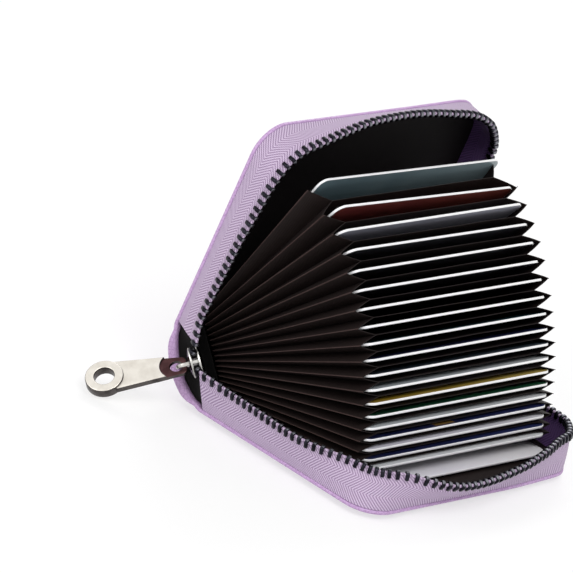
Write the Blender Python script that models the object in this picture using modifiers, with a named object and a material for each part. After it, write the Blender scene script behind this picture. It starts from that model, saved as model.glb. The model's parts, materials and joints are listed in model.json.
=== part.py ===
"""Zip-around accordion card holder, half open with its cards fanned, as separate pieces.

Metres, +Z up. The lower cover lies flat with its padded face on the ground and the origin in the
middle of that face. X runs along the spine and -Y points out of the mouth. Each moving piece is
drawn as it lies in the closed wallet and hangs under an empty that stands on its joint's axis and
is turned to the open angle.
"""

import math

import bmesh
import bpy
from mathutils import Matrix, Vector

MM = 0.001

# Cards, standard ID-1; the wallet is sized around them
CARD_COUNT = 20
CARD_LENGTH = 85.6 * MM
CARD_DEPTH = 53.98 * MM
CARD_THICK = 0.76 * MM
CARD_CORNER = 3.18 * MM

# Covers and spine
END_ROOM = 9.2 * MM            # short edge of a card to the end of the cover
DEPTH_ROOM = 20.02 * MM        # how much wider the cover is than a card
COVER_LENGTH = CARD_LENGTH + 2 * END_ROOM
COVER_WIDTH = CARD_DEPTH + DEPTH_ROOM      # from the back of the spine to the mouth edge
EDGE_THICKNESS = 28.8 * MM     # closed, over the flat rims of the two covers
CORNER_RADIUS = 10.5 * MM
LEATHER = 1.2 * MM
PAD_RISE = 1.8 * MM            # how far the padded field stands out from the rim
RIM_WIDTH = 3.4 * MM           # flat stitched rim
RIM_SLOPE = 3.5 * MM           # slope from the rim to the padded field
LINING = 0.25 * MM
LAYER_GAP = 0.1 * MM
SEAT_GAP = 0.3 * MM
SPINE_CROWN = 3.5 * MM         # the opened spine bows outwards
FOLD_GAP = 0.2 * MM            # each side of a fold line

# Open angles at rest, in degrees
SPINE_ANGLE = 40.0             # spine, from upright
COVER_ANGLE = 40.0             # upper cover, from its closed place on the spine

# Accordion
CARD_GAP = 0.12 * MM
LEAF = 0.2 * MM
CARD_PITCH = 1.26 * MM         # leaf to leaf along the spine
LEAF_LIP = 2.02 * MM           # how much deeper a leaf is than a card
LEAF_DEPTH = CARD_DEPTH + LEAF_LIP
LEAF_CORNER = 4 * MM
FIRST_LEAF_GAP = 0.15 * MM     # lowest leaf above the lower lining
HINGE_SETBACK = 0.7 * MM       # lowest leaf hinge, in front of the inner face of the spine
HINGE_STAGGER = 0.2 * MM       # each hinge above it stands this much further in
STAGGER_COUNT = 7
TOP_CARD_BACK = 12.6 * MM       # hinge to the back edge of the top card
REACH_STEP = 0.37 * MM         # each card down the fan sits this much deeper
REACH_STEPS = 16
LOWEST_ANGLE = 3.0             # fan angles in degrees from the lower cover
FAN_LINEAR = 23.3
FAN_SQUARE = 36.2
FIRST_LEAF_LIFT = 2.5          # the top leaf stands away from the rest, in degrees
LAST_LEAF_DROP = 2.6           # the lowest leaf lies nearly flat on the lining, in degrees
LAST_CARD_OUT = 1.5 * MM       # and its card sits this much further out

# Side bellows
PLEAT_START = 5.4 * MM
TIP_ROOM_IN = 4.8 * MM         # tips beyond the cards' ends, by the spine and at the mouth
TIP_ROOM_OUT = 4.2 * MM
ROOT_SINK = 3.0 * MM           # valleys at the mouth, inside the cards' ends
PLEAT_TIP_IN = CARD_LENGTH / 2 + TIP_ROOM_IN
PLEAT_TIP_OUT = CARD_LENGTH / 2 + TIP_ROOM_OUT
PLEAT_ROOT_OUT = CARD_LENGTH / 2 - ROOT_SINK
PLEAT_SHEET = 0.2 * MM
PLEAT_SHORT = 1.0 * MM         # bellows end this far inside the card's edge

# Zip
TAPE = 0.5 * MM
TAPE_INSET = 0.6 * MM          # middle of the tape, in from the edge of the cover
TAPE_NOTCH = 9 * MM            # slanted cut of the tape at the spine
TAPE_SHORT = 1.3 * MM          # foot of the tape, short of the fold line
CHAIN_THICK = 2.4 * MM
CHAIN_HEIGHT = 2.2 * MM
CHAIN_BEAD = 0.9 * MM
CHAIN_PITCH = 2.5 * MM
TOOTH_SHARE = 0.56
CHAIN_HALF_GAP = 0.2 * MM
NEAR_CHAIN_SHORT = 11.3 * MM   # chain end short of the fold line, at the slider
FAR_CHAIN_SHORT = 2.8 * MM
NEAR_LEAN = 16.0               # outward lean of the tape, in degrees
MOUTH_LEAN = 32.0
UPPER_LEAN = 24.0
FAR_LEAN = -3.0
FLAP_END_GAP = 0.3 * MM

# Lining at the spine
END_WALL_ROOM = 2.75 * MM      # in from the end of the cover
END_WALL_DEPTH = 8 * MM
END_WALL_INSET = 0.6 * MM

# Slider and puller
SLIDER_BEYOND = 2.2 * MM       # middle of the slider past the end of the cover
SLIDER_OUT = -5.8 * MM         # from the inner face of the spine
SLIDER_TURN = 48.0             # degrees, outer plate from -X towards the back
SLIDER_LENGTH = 9.0 * MM
SLIDER_WIDTH = 8.4 * MM
SLIDER_PLATE = 1.0 * MM
SLIDER_HALF = 2.3 * MM         # middle to the outer face of a plate
SLIDER_LIP = 0.75 * MM
POST_RADIUS = 1.15 * MM
BRIDGE_INNER = 1.75 * MM
BRIDGE_OUTER = 2.85 * MM
BRIDGE_WIDTH = 1.3 * MM
BRIDGE_LEG = 1.15 * MM
PULLER_TILT = 5.3              # degrees, up the slider's width
PULLER_TWIST = 34.0            # degrees, about its own length
PULLER_EYE_HOLE = 2.0 * MM
PULLER_EYE_RIM = 0.65 * MM     # half depth of the bar inside the bridge
PULLER_EYE_THICK = 1.0 * MM
PULLER_EYE_WIDTH = 7.4 * MM
PULLER_EYE_LENGTH = 7.6 * MM
PULLER_BAR_THICK = 2.0 * MM
PULLER_NECK_WIDTH = 10.6 * MM
RING_RADIUS = 5.9 * MM
RING_HOLE = 3.1 * MM
RING_THICK = 3.2 * MM
RING_AT = 24.6 * MM            # bridge to the middle of the ring

ARC_STEPS = 6

HALF_LENGTH = COVER_LENGTH / 2
END_WALL_AT = HALF_LENGTH - END_WALL_ROOM
SLIDER_X = -HALF_LENGTH - SLIDER_BEYOND
MOUTH_Y = -COVER_WIDTH / 2
FOLD_Y = COVER_WIDTH / 2 - LEATHER
FOLD_Z = PAD_RISE + LEATHER
SPINE_HEIGHT = EDGE_THICKNESS - 2 * LEATHER
COVER_REACH = FOLD_Y - MOUTH_Y             # fold line to mouth edge
LINING_LOW = LAYER_GAP                     # heights above the inner face of a cover
LINING_TOP = LINING_LOW + LINING
CHAIN_TIP = EDGE_THICKNESS / 2 - LEATHER - CHAIN_HALF_GAP
CHAIN_LOW = CHAIN_TIP - CHAIN_HEIGHT
TAPE_TOP = CHAIN_LOW - LAYER_GAP
PLEAT_ROOT_IN = CARD_LENGTH / 2 + 6 * SEAT_GAP


def clear_scene():
    """Remove every object of the open scene."""
    for thing in list(bpy.data.objects):
        bpy.data.objects.remove(thing, do_unlink=True)


def collection(name):
    made = bpy.data.collections.new(name)
    bpy.context.scene.collection.children.link(made)
    return made


def material(name, colour, roughness, metallic=0.0):
    """A Principled material with one plain colour."""
    made = bpy.data.materials.new(name)
    made.use_nodes = True
    shader = made.node_tree.nodes["Principled BSDF"]
    shader.inputs["Base Color"].default_value = (*colour, 1.0)
    shader.inputs["Roughness"].default_value = roughness
    shader.inputs["Metallic"].default_value = metallic
    return made


def axis_empty(name, location, angle=0.0, parent=None):
    """An empty on a joint's axis; angle turns it about -X, which opens the wallet."""
    made = bpy.data.objects.new(name, None)
    made.location = location
    made.rotation_euler = (-math.radians(angle), 0, 0)
    made.parent = parent
    pieces.objects.link(made)
    return made


def add_object(name, data, look, parent, location=(0, 0, 0), rotation=(0, 0, 0)):
    made = bpy.data.objects.new(name, data)
    data.materials.clear()
    data.materials.append(look)
    made.location = location
    made.rotation_euler = rotation
    made.parent = parent
    pieces.objects.link(made)
    return made


def arc(centre, radius, start, end, steps=ARC_STEPS):
    """Points on an arc, angles in degrees."""
    turn = [math.radians(start + (end - start) * i / steps) for i in range(steps + 1)]
    return [(centre[0] + radius * math.cos(a), centre[1] + radius * math.sin(a)) for a in turn]


def mouth_outline(half, back, front, radius):
    """A panel seen from above: square at the spine, round at the mouth."""
    near = arc((-half + radius, front + radius), radius, 180, 270)
    far = arc((half - radius, front + radius), radius, 270, 360)
    return [(-half, back), *near, *far, (half, back)]


def round_rectangle(half_x, half_y, radius, centre=(0, 0)):
    """A rectangle with four round corners."""
    x, y = half_x - radius, half_y - radius
    corners = [((x, y), 0), ((-x, y), 90), ((-x, -y), 180), ((x, -y), 270)]
    points = []
    for (cx, cy), start in corners:
        points += arc((centre[0] + cx, centre[1] + cy), radius, start, start + 90, 4)
    return points


def plate_curve(name, outlines, thickness):
    """A flat 2D curve, filled and extruded; later outlines are holes."""
    data = bpy.data.curves.new(name, "CURVE")
    data.dimensions = "2D"
    data.fill_mode = "BOTH"
    data.extrude = thickness / 2
    for points in outlines:
        spline = data.splines.new("POLY")
        spline.points.add(len(points) - 1)
        for point, (x, y) in zip(spline.points, points):
            point.co = (x, y, 0, 1)
        spline.use_cyclic_u = True
    return data


def plate(name, outlines, low, thickness, look, parent):
    """A plate in the XY plane whose lower face is at low."""
    data = plate_curve(name, outlines, thickness)
    return add_object(name, data, look, parent, (0, 0, low + thickness / 2))


def mesh_copy(thing):
    """The evaluated mesh of a curve object as a new closed mesh, and the curve is removed."""
    bpy.context.view_layer.update()
    depsgraph = bpy.context.evaluated_depsgraph_get()
    data = bpy.data.meshes.new_from_object(thing.evaluated_get(depsgraph))
    bm = bmesh.new()
    bm.from_mesh(data)
    bmesh.ops.remove_doubles(bm, verts=bm.verts, dist=0.005 * MM)
    bm.to_mesh(data)
    bm.free()
    name, place = thing.name, thing.matrix_world.copy()
    bpy.data.objects.remove(thing, do_unlink=True)
    made = bpy.data.objects.new(name, data)
    made.matrix_world = place
    return made


def mesh_from(bm, name):
    bmesh.ops.recalc_face_normals(bm, faces=bm.faces)
    if bm.calc_volume(signed=True) < 0:
        bmesh.ops.reverse_faces(bm, faces=bm.faces)
    data = bpy.data.meshes.new(name)
    bm.to_mesh(data)
    bm.free()
    return data


def cutter(thing):
    """Hide a helper solid that a Boolean modifier reads."""
    helpers.objects.link(thing)
    thing.hide_render = True
    thing.display_type = "WIRE"
    return thing


def join(thing, other):
    """Boolean union of thing with a helper solid."""
    made = thing.modifiers.new("join " + other.name, "BOOLEAN")
    made.operation = "UNION"
    made.object = other
    made.solver = "EXACT"


def ring_loft(rings, name):
    """A closed body through rings of points, with both ends capped."""
    bm = bmesh.new()
    rows = [[bm.verts.new(p) for p in ring] for ring in rings]
    for row, after in zip(rows, rows[1:]):
        for i in range(len(row)):
            j = (i + 1) % len(row)
            bm.faces.new((row[i], row[j], after[j], after[i]))
    bm.faces.new(rows[0])
    bm.faces.new(rows[-1])
    bmesh.ops.dissolve_limit(
        bm, angle_limit=math.radians(0.5), verts=bm.verts, edges=bm.edges
    )
    bmesh.ops.connect_verts_nonplanar(bm, angle_limit=math.radians(0.02), faces=bm.faces)
    bmesh.ops.triangulate(bm, faces=[face for face in bm.faces if len(face.verts) == 4])
    return mesh_from(bm, name)


# Covers


def cover_leather(name, parent, upper):
    """Leather panel of a cover: flat rim, slope, padded field, one wall thick.

    It is drawn from the fold line to the mouth, inner face at height 0; the upper one is
    mirrored in height.
    """
    out = 1 if upper else -1
    outline = mouth_outline(HALF_LENGTH, -FOLD_GAP, -COVER_REACH, CORNER_RADIUS)
    bm = bmesh.new()
    face = bm.faces.new([bm.verts.new((x, y, 0)) for x, y in outline])
    bmesh.ops.recalc_face_normals(bm, faces=[face])
    if face.normal.z * out < 0:
        bmesh.ops.reverse_faces(bm, faces=[face])
    steps = [(RIM_WIDTH, 0), (RIM_SLOPE * 0.4, PAD_RISE * 0.5), (RIM_SLOPE * 0.6, PAD_RISE * 0.5)]
    for width, rise in steps:
        bmesh.ops.inset_region(bm, faces=[face], thickness=width, use_even_offset=True)
        for vert in face.verts:
            vert.co.z += out * rise
    data = bpy.data.meshes.new(name)
    bm.to_mesh(data)
    bm.free()
    made = add_object(name, data, leather, parent)
    wall = made.modifiers.new("wall", "SOLIDIFY")
    wall.thickness = LEATHER
    wall.offset = 1
    return made


def cover_layers(side, parent, upper):
    """Leather, foam pad and lining of one cover, under the empty on its fold line."""
    sign = -1 if upper else 1
    cover_leather(side + "_cover_leather", parent, upper)
    inset = RIM_WIDTH + RIM_SLOPE + LEATHER
    pad_thick = PAD_RISE - 2 * LAYER_GAP
    pad_low = -PAD_RISE + LAYER_GAP
    pad_outline = round_rectangle(
        HALF_LENGTH - inset, COVER_REACH / 2 - inset, CORNER_RADIUS / 2, (0, -COVER_REACH / 2)
    )
    low = pad_low if not upper else -pad_low - pad_thick
    plate(side + "_cover_pad", [pad_outline], low, pad_thick, foam, parent)
    edge = TAPE_INSET + TAPE / 2 + SEAT_GAP
    lining_outline = mouth_outline(
        HALF_LENGTH - edge, -2 * SEAT_GAP, -COVER_REACH + edge, CORNER_RADIUS - edge
    )
    low = LINING_LOW if sign > 0 else -LINING_TOP
    plate(side + "_cover_lining", [lining_outline], low, LINING, lining, parent)


def rim_path(distance, near_end, far_end):
    """Point, outward direction and mouth share at a distance along the zip's run round a cover.

    The run starts near_end short of the fold line on the -X side and goes round the mouth.
    """
    half = HALF_LENGTH - TAPE_INSET
    radius = CORNER_RADIUS - TAPE_INSET
    front = -COVER_REACH + TAPE_INSET
    side = -near_end - (front + radius)
    bend = radius * math.pi / 2
    mouth = 2 * (half - radius)
    if distance <= side:
        return Vector((-half, -near_end - distance)), Vector((-1, 0)), 0.0
    distance -= side
    if distance <= bend:
        a = math.pi + distance / radius
        out = Vector((math.cos(a), math.sin(a)))
        return Vector((-half + radius, front + radius)) + radius * out, out, distance / bend
    distance -= bend
    if distance <= mouth:
        return Vector((-half + radius + distance, front)), Vector((0, -1)), 1.0
    distance -= mouth
    if distance <= bend:
        a = -math.pi / 2 + distance / radius
        out = Vector((math.cos(a), math.sin(a)))
        return Vector((half - radius, front + radius)) + radius * out, out, 1 + distance / bend
    distance -= bend
    return Vector((half, front + radius + distance)), Vector((1, 0)), 2.0


def run_lengths(near_end, far_end):
    """Distances along the run where its straights and bends end."""
    radius = CORNER_RADIUS - TAPE_INSET
    front = -COVER_REACH + TAPE_INSET
    bend = radius * math.pi / 2
    mouth = 2 * (HALF_LENGTH - TAPE_INSET - radius)
    marks = [0, -near_end - (front + radius)]
    marks.append(marks[-1] + bend)
    marks.append(marks[-1] + mouth)
    marks.append(marks[-1] + bend)
    marks.append(marks[-1] - far_end - (front + radius))
    return marks


def lean_at(share, mouth_lean):
    """Lean of the tape in radians: near side, mouth and far side, eased over the corners."""
    ease = share % 1 if share < 2 else 1.0
    ease = ease * ease * (3 - 2 * ease)
    if share < 1:
        degrees = NEAR_LEAN + (mouth_lean - NEAR_LEAN) * ease
    elif share == 1:
        degrees = mouth_lean
    else:
        degrees = mouth_lean + (FAR_LEAN - mouth_lean) * ease
    return math.radians(degrees)


def tape_ring(distance, near_end, far_end, mouth_lean, upper, low, top, thick, shift=0.0):
    """Four points of the tape's or chain's section; shift slides the top along the run."""
    flip = -1 if upper else 1
    ring = []
    for height, side in ((low, -1), (low, 1), (top, 1), (top, -1)):
        along = distance + (shift if height == top else 0)
        point, out, share = rim_path(along, near_end, far_end)
        lean = lean_at(share, mouth_lean)
        reach = height * math.sin(lean) + side * thick / 2 * math.cos(lean)
        rise = height * math.cos(lean) - side * thick / 2 * math.sin(lean)
        ring.append((point.x + out.x * reach, point.y + out.y * reach, flip * rise))
    return ring


def stations(start, end, marks, bend_step):
    """Distances from start to end with extra stations in the bends."""
    found = [start]
    for index in (1, 3):
        low, high = marks[index], marks[index + 1]
        count = max(1, round((high - low) / bend_step))
        for i in range(count + 1):
            at = low + (high - low) * i / count
            if start < at < end:
                found.append(at)
    found.append(end)
    return found


def zip_tape(name, parent, upper, mouth_lean):
    """The tape's standing wall round three sides of a cover, cut slanting at the spine."""
    ends = (TAPE_SHORT, TAPE_SHORT)
    marks = run_lengths(*ends)
    run = stations(0, marks[-1], marks, 2.4 * MM)
    low = TAPE / 2 + LAYER_GAP
    rings = []
    for at in run:
        shift = TAPE_NOTCH if at == 0 else 0.0
        rings.append(tape_ring(at, *ends, mouth_lean, upper, low, TAPE_TOP, TAPE, shift))
    return add_object(name, ring_loft(rings, name), tape, parent)


def chain(name, parent, upper, mouth_lean, first, last, origin=(0, 0)):
    """Part of the zip's chain: a bead with square teeth at an even pitch."""
    ends = (0.0, 0.0)
    count = max(1, round((last - first) / CHAIN_PITCH))
    pitch = (last - first) / count
    tooth = pitch * TOOTH_SHARE
    rings = []
    for i in range(count):
        start = first + i * pitch + (pitch - tooth) / 2
        bead_top = CHAIN_LOW + CHAIN_BEAD
        end = start + tooth
        for at, top in ((start, bead_top), (start, CHAIN_TIP), (end, CHAIN_TIP), (end, bead_top)):
            rings.append(tape_ring(at, *ends, mouth_lean, upper, CHAIN_LOW, top, CHAIN_THICK))
    rings = [
        [(x - origin[0], y - origin[1], z) for x, y, z in ring] for ring in rings
    ]
    return add_object(name, ring_loft(rings, name), teeth, parent)


# Build

clear_scene()
pieces = collection("zip_card_holder")
helpers = collection("cutters")

leather = material("pebbled_leather", (0.68, 0.45, 0.75), 0.45)
tape = material("zip_tape", (0.72, 0.53, 0.79), 0.85)
lining = material("black_lining", (0.006, 0.005, 0.006), 0.7)
fabric = material("pleated_fabric", (0.014, 0.009, 0.008), 0.6)
foam = material("foam_pad", (0.5, 0.5, 0.5), 0.9)
teeth = material("gunmetal_teeth", (0.02, 0.02, 0.025), 0.3, 1.0)
nickel = material("satin_nickel", (0.70, 0.66, 0.60), 0.3, 1.0)
card_looks = [
    material("card_teal", (0.10, 0.17, 0.20), 0.35),
    material("card_maroon", (0.10, 0.015, 0.015), 0.35),
    material("card_grey", (0.30, 0.30, 0.36), 0.35),
    material("card_dark", (0.02, 0.02, 0.03), 0.35),
    material("card_white", (0.75, 0.76, 0.78), 0.35),
    material("card_gold", (0.45, 0.33, 0.06), 0.35),
    material("card_green", (0.01, 0.06, 0.025), 0.35),
    material("card_navy", (0.01, 0.012, 0.05), 0.35),
]
CARD_ORDER = [0, 1, 2, 3, 3, 3, 3, 3, 0, 7, 3, 4, 5, 6, 4, 7, 4, 7, 4, 4]

lower_fold = axis_empty("lower_fold", (0, FOLD_Y, FOLD_Z))
spine_axis = axis_empty("spine_axis", (0, 0, 0), SPINE_ANGLE, lower_fold)
upper_axis = axis_empty("upper_axis", (0, 0, SPINE_HEIGHT), COVER_ANGLE, spine_axis)

cover_layers("lower", lower_fold, False)
cover_layers("upper", upper_axis, True)
zip_tape("lower_zip_tape", lower_fold, False, MOUTH_LEAN)
zip_tape("upper_zip_tape", upper_axis, True, UPPER_LEAN)

marks = run_lengths(0.0, 0.0)
near_start = NEAR_CHAIN_SHORT
far_end = marks[-1] - FAR_CHAIN_SHORT
flap_foot = -COVER_REACH + TAPE_INSET
for side, fold, lean in (("lower", lower_fold, MOUTH_LEAN), ("upper", upper_axis, UPPER_LEAN)):
    upper = side == "upper"
    chain(side + "_teeth_near", fold, upper, lean, near_start, marks[2] - FLAP_END_GAP)
    chain(side + "_teeth_far", fold, upper, lean, marks[3] + FLAP_END_GAP, far_end)
    flap_axis = axis_empty(side + "_flap_axis", (0, flap_foot, 0), 0, fold)
    chain(side + "_teeth_mouth", flap_axis, upper, lean, marks[2], marks[3], (0, flap_foot))


def spine_leather():
    """The leather over the spine, slightly crowned, seen in section and run along X."""
    low, top = FOLD_GAP, SPINE_HEIGHT - FOLD_GAP
    steps = 8
    share = [i / steps for i in range(steps + 1)]
    crown = [SPINE_CROWN * 4 * s * (1 - s) for s in share]
    outer = [(LEATHER + c, low + (top - low) * s) for s, c in zip(share, crown)]
    inner = [(c, low + (top - low) * s) for s, c in zip(share, crown)]
    data = plate_curve("spine_leather", [inner + outer[::-1]], COVER_LENGTH)
    turn = Matrix(((0, 0, 1), (1, 0, 0), (0, 1, 0))).to_euler()
    add_object("spine_leather", data, leather, spine_axis, rotation=turn)


def spine_lining():
    """The lining inside the spine, folded forward at both ends."""
    half = END_WALL_AT
    back, face = -LAYER_GAP, -LAYER_GAP - LINING
    outline = [
        (-half, back),
        (-half, -END_WALL_DEPTH),
        (-half + LINING, -END_WALL_DEPTH),
        (-half + LINING, face),
        (half - LINING, face),
        (half - LINING, -END_WALL_DEPTH),
        (half, -END_WALL_DEPTH),
        (half, back),
    ]
    height = SPINE_HEIGHT - 2 * END_WALL_INSET
    plate("spine_lining", [outline], END_WALL_INSET, height, lining, spine_axis)


spine_leather()
spine_lining()


# Accordion


def fan_angle(k):
    """Angle of leaf k from the lower cover, in degrees; 1 is the top leaf."""
    up = (CARD_COUNT - k) / (CARD_COUNT - 1)
    dropped = LAST_LEAF_DROP * max(k - CARD_COUNT + 1, 0)
    lifted = FIRST_LEAF_LIFT * max(2 - k, 0)
    return LOWEST_ANGLE + FAN_LINEAR * up + FAN_SQUARE * up * up + lifted - dropped


def leaf_height(k):
    """Height of the middle of leaf k on the spine, above the lower fold line."""
    lowest = LINING_TOP + FIRST_LEAF_GAP + LEAF / 2
    return lowest + (CARD_COUNT - k) * CARD_PITCH


def hinge_setback(k):
    return HINGE_SETBACK + HINGE_STAGGER * min(CARD_COUNT - k, STAGGER_COUNT)


def card_reach(k):
    """Hinge to the mouth edge of card k."""
    out = LAST_CARD_OUT * max(k - CARD_COUNT + 1, 0)
    return CARD_DEPTH + TOP_CARD_BACK - REACH_STEP * min(k - 1, REACH_STEPS) + out


def leaf_sleeve(name, parent):
    """The top leaf: a folded sleeve with a wall under and a wall over its card."""
    step = CARD_PITCH
    low, high = -LEAF / 2, LEAF / 2
    inner, fold = 0.0, -LEAF
    outline = [
        (inner, low),
        (inner, step + high),
        (-LEAF_DEPTH, step + high),
        (-LEAF_DEPTH, step + low),
        (fold, step + low),
        (fold, high),
        (-LEAF_DEPTH, high),
        (-LEAF_DEPTH, low),
    ]
    data = plate_curve(name, [outline], CARD_LENGTH)
    turn = Matrix(((0, 0, 1), (1, 0, 0), (0, 1, 0))).to_euler()
    add_object(name, data, fabric, parent, rotation=turn)


def pockets_and_cards():
    """Twenty leaves hinged along the spine, each with a card lying on it."""
    for k in range(1, CARD_COUNT + 1):
        axis = axis_empty(
            f"leaf_axis_{k:02d}",
            (0, -hinge_setback(k), leaf_height(k)),
            fan_angle(k) - SPINE_ANGLE,
            spine_axis,
        )
        name = f"pocket_{k:02d}"
        if k == 1:
            leaf_sleeve(name, axis)
        else:
            outline = mouth_outline(CARD_LENGTH / 2, 0, -LEAF_DEPTH, LEAF_CORNER)
            plate(name, [outline], -LEAF / 2, LEAF, fabric, axis)
        middle = CARD_DEPTH / 2 - card_reach(k)
        outline = round_rectangle(CARD_LENGTH / 2, CARD_DEPTH / 2, CARD_CORNER, (0, middle))
        look = card_looks[CARD_ORDER[k - 1]]
        plate(f"card_{k:02d}", [outline], LEAF / 2 + CARD_GAP, CARD_THICK, look, axis)


def bellows(name, side):
    """Pleated side wall: a tip level with each card and a valley between cards."""
    levels = [0.5 * i for i in range(1, 2 * CARD_COUNT + 1)]
    columns = []
    for level in levels:
        angle = math.radians(fan_angle(level) - SPINE_ANGLE)
        tip = abs(level - round(level)) < 0.25
        lift = CARD_THICK / 2 if tip else CARD_THICK / 2 - LEAF / 2
        foot = Vector((0, -hinge_setback(level), leaf_height(level) + LEAF / 2 + lift))
        direction = Vector((0, -math.cos(angle), math.sin(angle)))
        outer = card_reach(max(level, 1)) - PLEAT_SHORT
        inner_x = PLEAT_TIP_IN if tip else PLEAT_ROOT_IN
        outer_x = PLEAT_TIP_OUT if tip else PLEAT_ROOT_OUT
        column = []
        for reach, x in ((PLEAT_START, inner_x), (outer, outer_x)):
            column.append(foot + direction * reach + Vector((side * x, 0, 0)))
        columns.append(column)
    rings = []
    for i, column in enumerate(columns):
        beside = columns[i + 1] if i + 1 < len(columns) else columns[i - 1]
        ring = []
        for point, other in zip(column, beside):
            run = abs(other.x - point.x)
            rise = (other - point).length
            slope = math.sqrt(max(rise * rise - run * run, 0)) / rise
            ring.append(Vector((PLEAT_SHEET / slope / 2, 0, 0)))
        rings.append(
            [column[0] - ring[0], column[0] + ring[0], column[1] + ring[1], column[1] - ring[1]]
        )
    add_object(name, ring_loft(rings, name), fabric, spine_axis)


pockets_and_cards()
bellows("near_bellows", -1)
bellows("far_bellows", 1)


# Slider and puller


def capsule_outline(length, width, nose):
    """Slider plate seen flat: round nose at the front, straight sides, square tail."""
    radius = width / 2
    front = arc((length / 2 - nose, 0), 1.0, -90, 90, 8)
    centre = length / 2 - nose
    shaped = [(centre + (x - centre) * nose, y * radius) for x, y in front]
    tail = -length / 2
    return [*shaped, (tail + 1 * MM, radius * 0.72), (tail, radius * 0.5), (tail, -radius * 0.5),
            (tail + 1 * MM, -radius * 0.72)]


def bridge_outline():
    """C-shaped bridge, round about the puller's hinge line, its legs sunk in the plate."""
    low = SLIDER_HALF - SLIDER_PLATE / 2
    centre = SLIDER_HALF + BRIDGE_LEG
    outer = arc((0, centre), BRIDGE_OUTER, 0, 180, 10)
    inner = arc((0, centre), BRIDGE_INNER, 180, 0, 10)
    return [
        (BRIDGE_OUTER, low),
        *outer,
        (-BRIDGE_OUTER, low),
        (-BRIDGE_INNER, low),
        *inner,
        (BRIDGE_INNER, low),
    ]


def slider_body(parent):
    """Two plates with lips, joined by a post at the front, and the puller's bridge."""
    outline = capsule_outline(SLIDER_LENGTH, SLIDER_WIDTH, 3 * MM)
    height = 2 * SLIDER_HALF
    helper = []
    for name, low in (("slider_top", SLIDER_HALF - SLIDER_PLATE), ("slider_base", -SLIDER_HALF)):
        part = plate(name, [outline], low, SLIDER_PLATE, nickel, None)
        helper.append(mesh_copy(part))
    body = helper[0]
    body.name = "slider_body"
    base = cutter(helper[1])
    post_data = bmesh.new()
    bmesh.ops.create_cone(
        post_data, cap_ends=True, segments=12, radius1=POST_RADIUS, radius2=POST_RADIUS,
        depth=height - SLIDER_PLATE,
        matrix=Matrix.Translation((SLIDER_LENGTH / 2 - 2 * POST_RADIUS, 0, 0)),
    )
    post = cutter(bpy.data.objects.new("slider_post", mesh_from(post_data, "slider_post")))
    outline = [bridge_outline()]
    width = BRIDGE_WIDTH
    bridge = mesh_copy(plate("slider_bridge", outline, -width / 2, width, nickel, None))
    bridge.data.transform(Matrix(((1, 0, 0, 0), (0, 0, -1, 0), (0, 1, 0, 0), (0, 0, 0, 1))))
    helpers_made = [base, post, cutter(bridge)]
    lip_length = SLIDER_LENGTH * 0.45
    for number, (side, level) in enumerate([(-1, -1), (-1, 1), (1, -1), (1, 1)]):
        lip_data = bmesh.new()
        bmesh.ops.create_cube(lip_data, size=1)
        reach = SLIDER_PLATE * 0.5 + SLIDER_LIP
        centre = (
            -SLIDER_LENGTH * 0.08,
            side * (SLIDER_WIDTH / 2 - SLIDER_PLATE * 0.45),
            level * (SLIDER_HALF - SLIDER_PLATE * 0.5 - reach / 2),
        )
        size = Matrix.Diagonal((lip_length, SLIDER_PLATE * 0.7, reach, 1))
        bmesh.ops.transform(lip_data, matrix=Matrix.Translation(centre) @ size, verts=lip_data.verts)
        name = f"slider_lip_{number}"
        helpers_made.append(cutter(bpy.data.objects.new(name, mesh_from(lip_data, name))))
    pieces.objects.link(body)
    body.data.materials.clear()
    body.data.materials.append(nickel)
    for other in [body, *helpers_made]:
        other.parent = parent
        other.matrix_basis = Matrix.Identity(4)
    for other, shift in ((body, SLIDER_HALF - SLIDER_PLATE / 2), (base, SLIDER_PLATE / 2 - SLIDER_HALF)):
        other.location = (0, 0, shift)
    for other in helpers_made:
        join(body, other)


def puller(parent):
    """Flat pull with an eye for the bridge and a thick ring, along its local +X."""
    eye_end = -PULLER_EYE_RIM
    eye_centre = PULLER_EYE_RIM + PULLER_EYE_HOLE
    half_eye = PULLER_EYE_WIDTH / 2
    round_end = 2 * MM
    eye_outline = [
        *arc((eye_end + round_end, half_eye - round_end), round_end, 90, 180, 4),
        *arc((eye_end + round_end, -half_eye + round_end), round_end, 180, 270, 4),
        (PULLER_EYE_LENGTH + 1 * MM, -half_eye),
        (PULLER_EYE_LENGTH + 1 * MM, half_eye),
    ]
    hole = arc((eye_centre, 0), PULLER_EYE_HOLE, 0, 342, 19)
    half_neck = PULLER_NECK_WIDTH / 2
    half_bar = half_eye + (half_neck - half_eye) * 0.15
    ring_hole = arc((RING_AT, 0), RING_HOLE, 0, 345, 23)
    ring_outline = arc((RING_AT, 0), RING_RADIUS, 0, 348.75, 31)
    bar_cut = arc((RING_AT, 0), RING_HOLE + 0.6 * MM, 250, 110, 8)
    bar_outline = [
        (PULLER_EYE_LENGTH, half_bar),
        (PULLER_EYE_LENGTH, -half_bar),
        (RING_AT - 2 * MM, -half_neck),
        *bar_cut,
        (RING_AT - 2 * MM, half_neck),
    ]
    shapes = [
        ("puller", [eye_outline, hole], PULLER_EYE_THICK),
        ("puller_bar", [bar_outline], PULLER_BAR_THICK),
        ("puller_ring", [ring_outline, ring_hole], RING_THICK),
    ]
    solids = []
    for name, outlines, thick in shapes:
        solids.append(mesh_copy(plate(name, outlines, -thick / 2, thick, nickel, None)))
    body = solids[0]
    pieces.objects.link(body)
    body.data.materials.clear()
    body.data.materials.append(nickel)
    for other in solids[1:]:
        join(body, cutter(other))
    for other in solids:
        other.parent = parent
        other.matrix_basis = Matrix.Identity(4)


def turned_empty(name, location, across, along, parent):
    """An empty whose local X is along and local Y is across."""
    up = along.cross(across)
    turn = Matrix((along, across, up)).transposed()
    made = bpy.data.objects.new(name, None)
    made.matrix_basis = Matrix.Translation(location) @ turn.to_4x4()
    made.parent = parent
    pieces.objects.link(made)
    return made


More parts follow.
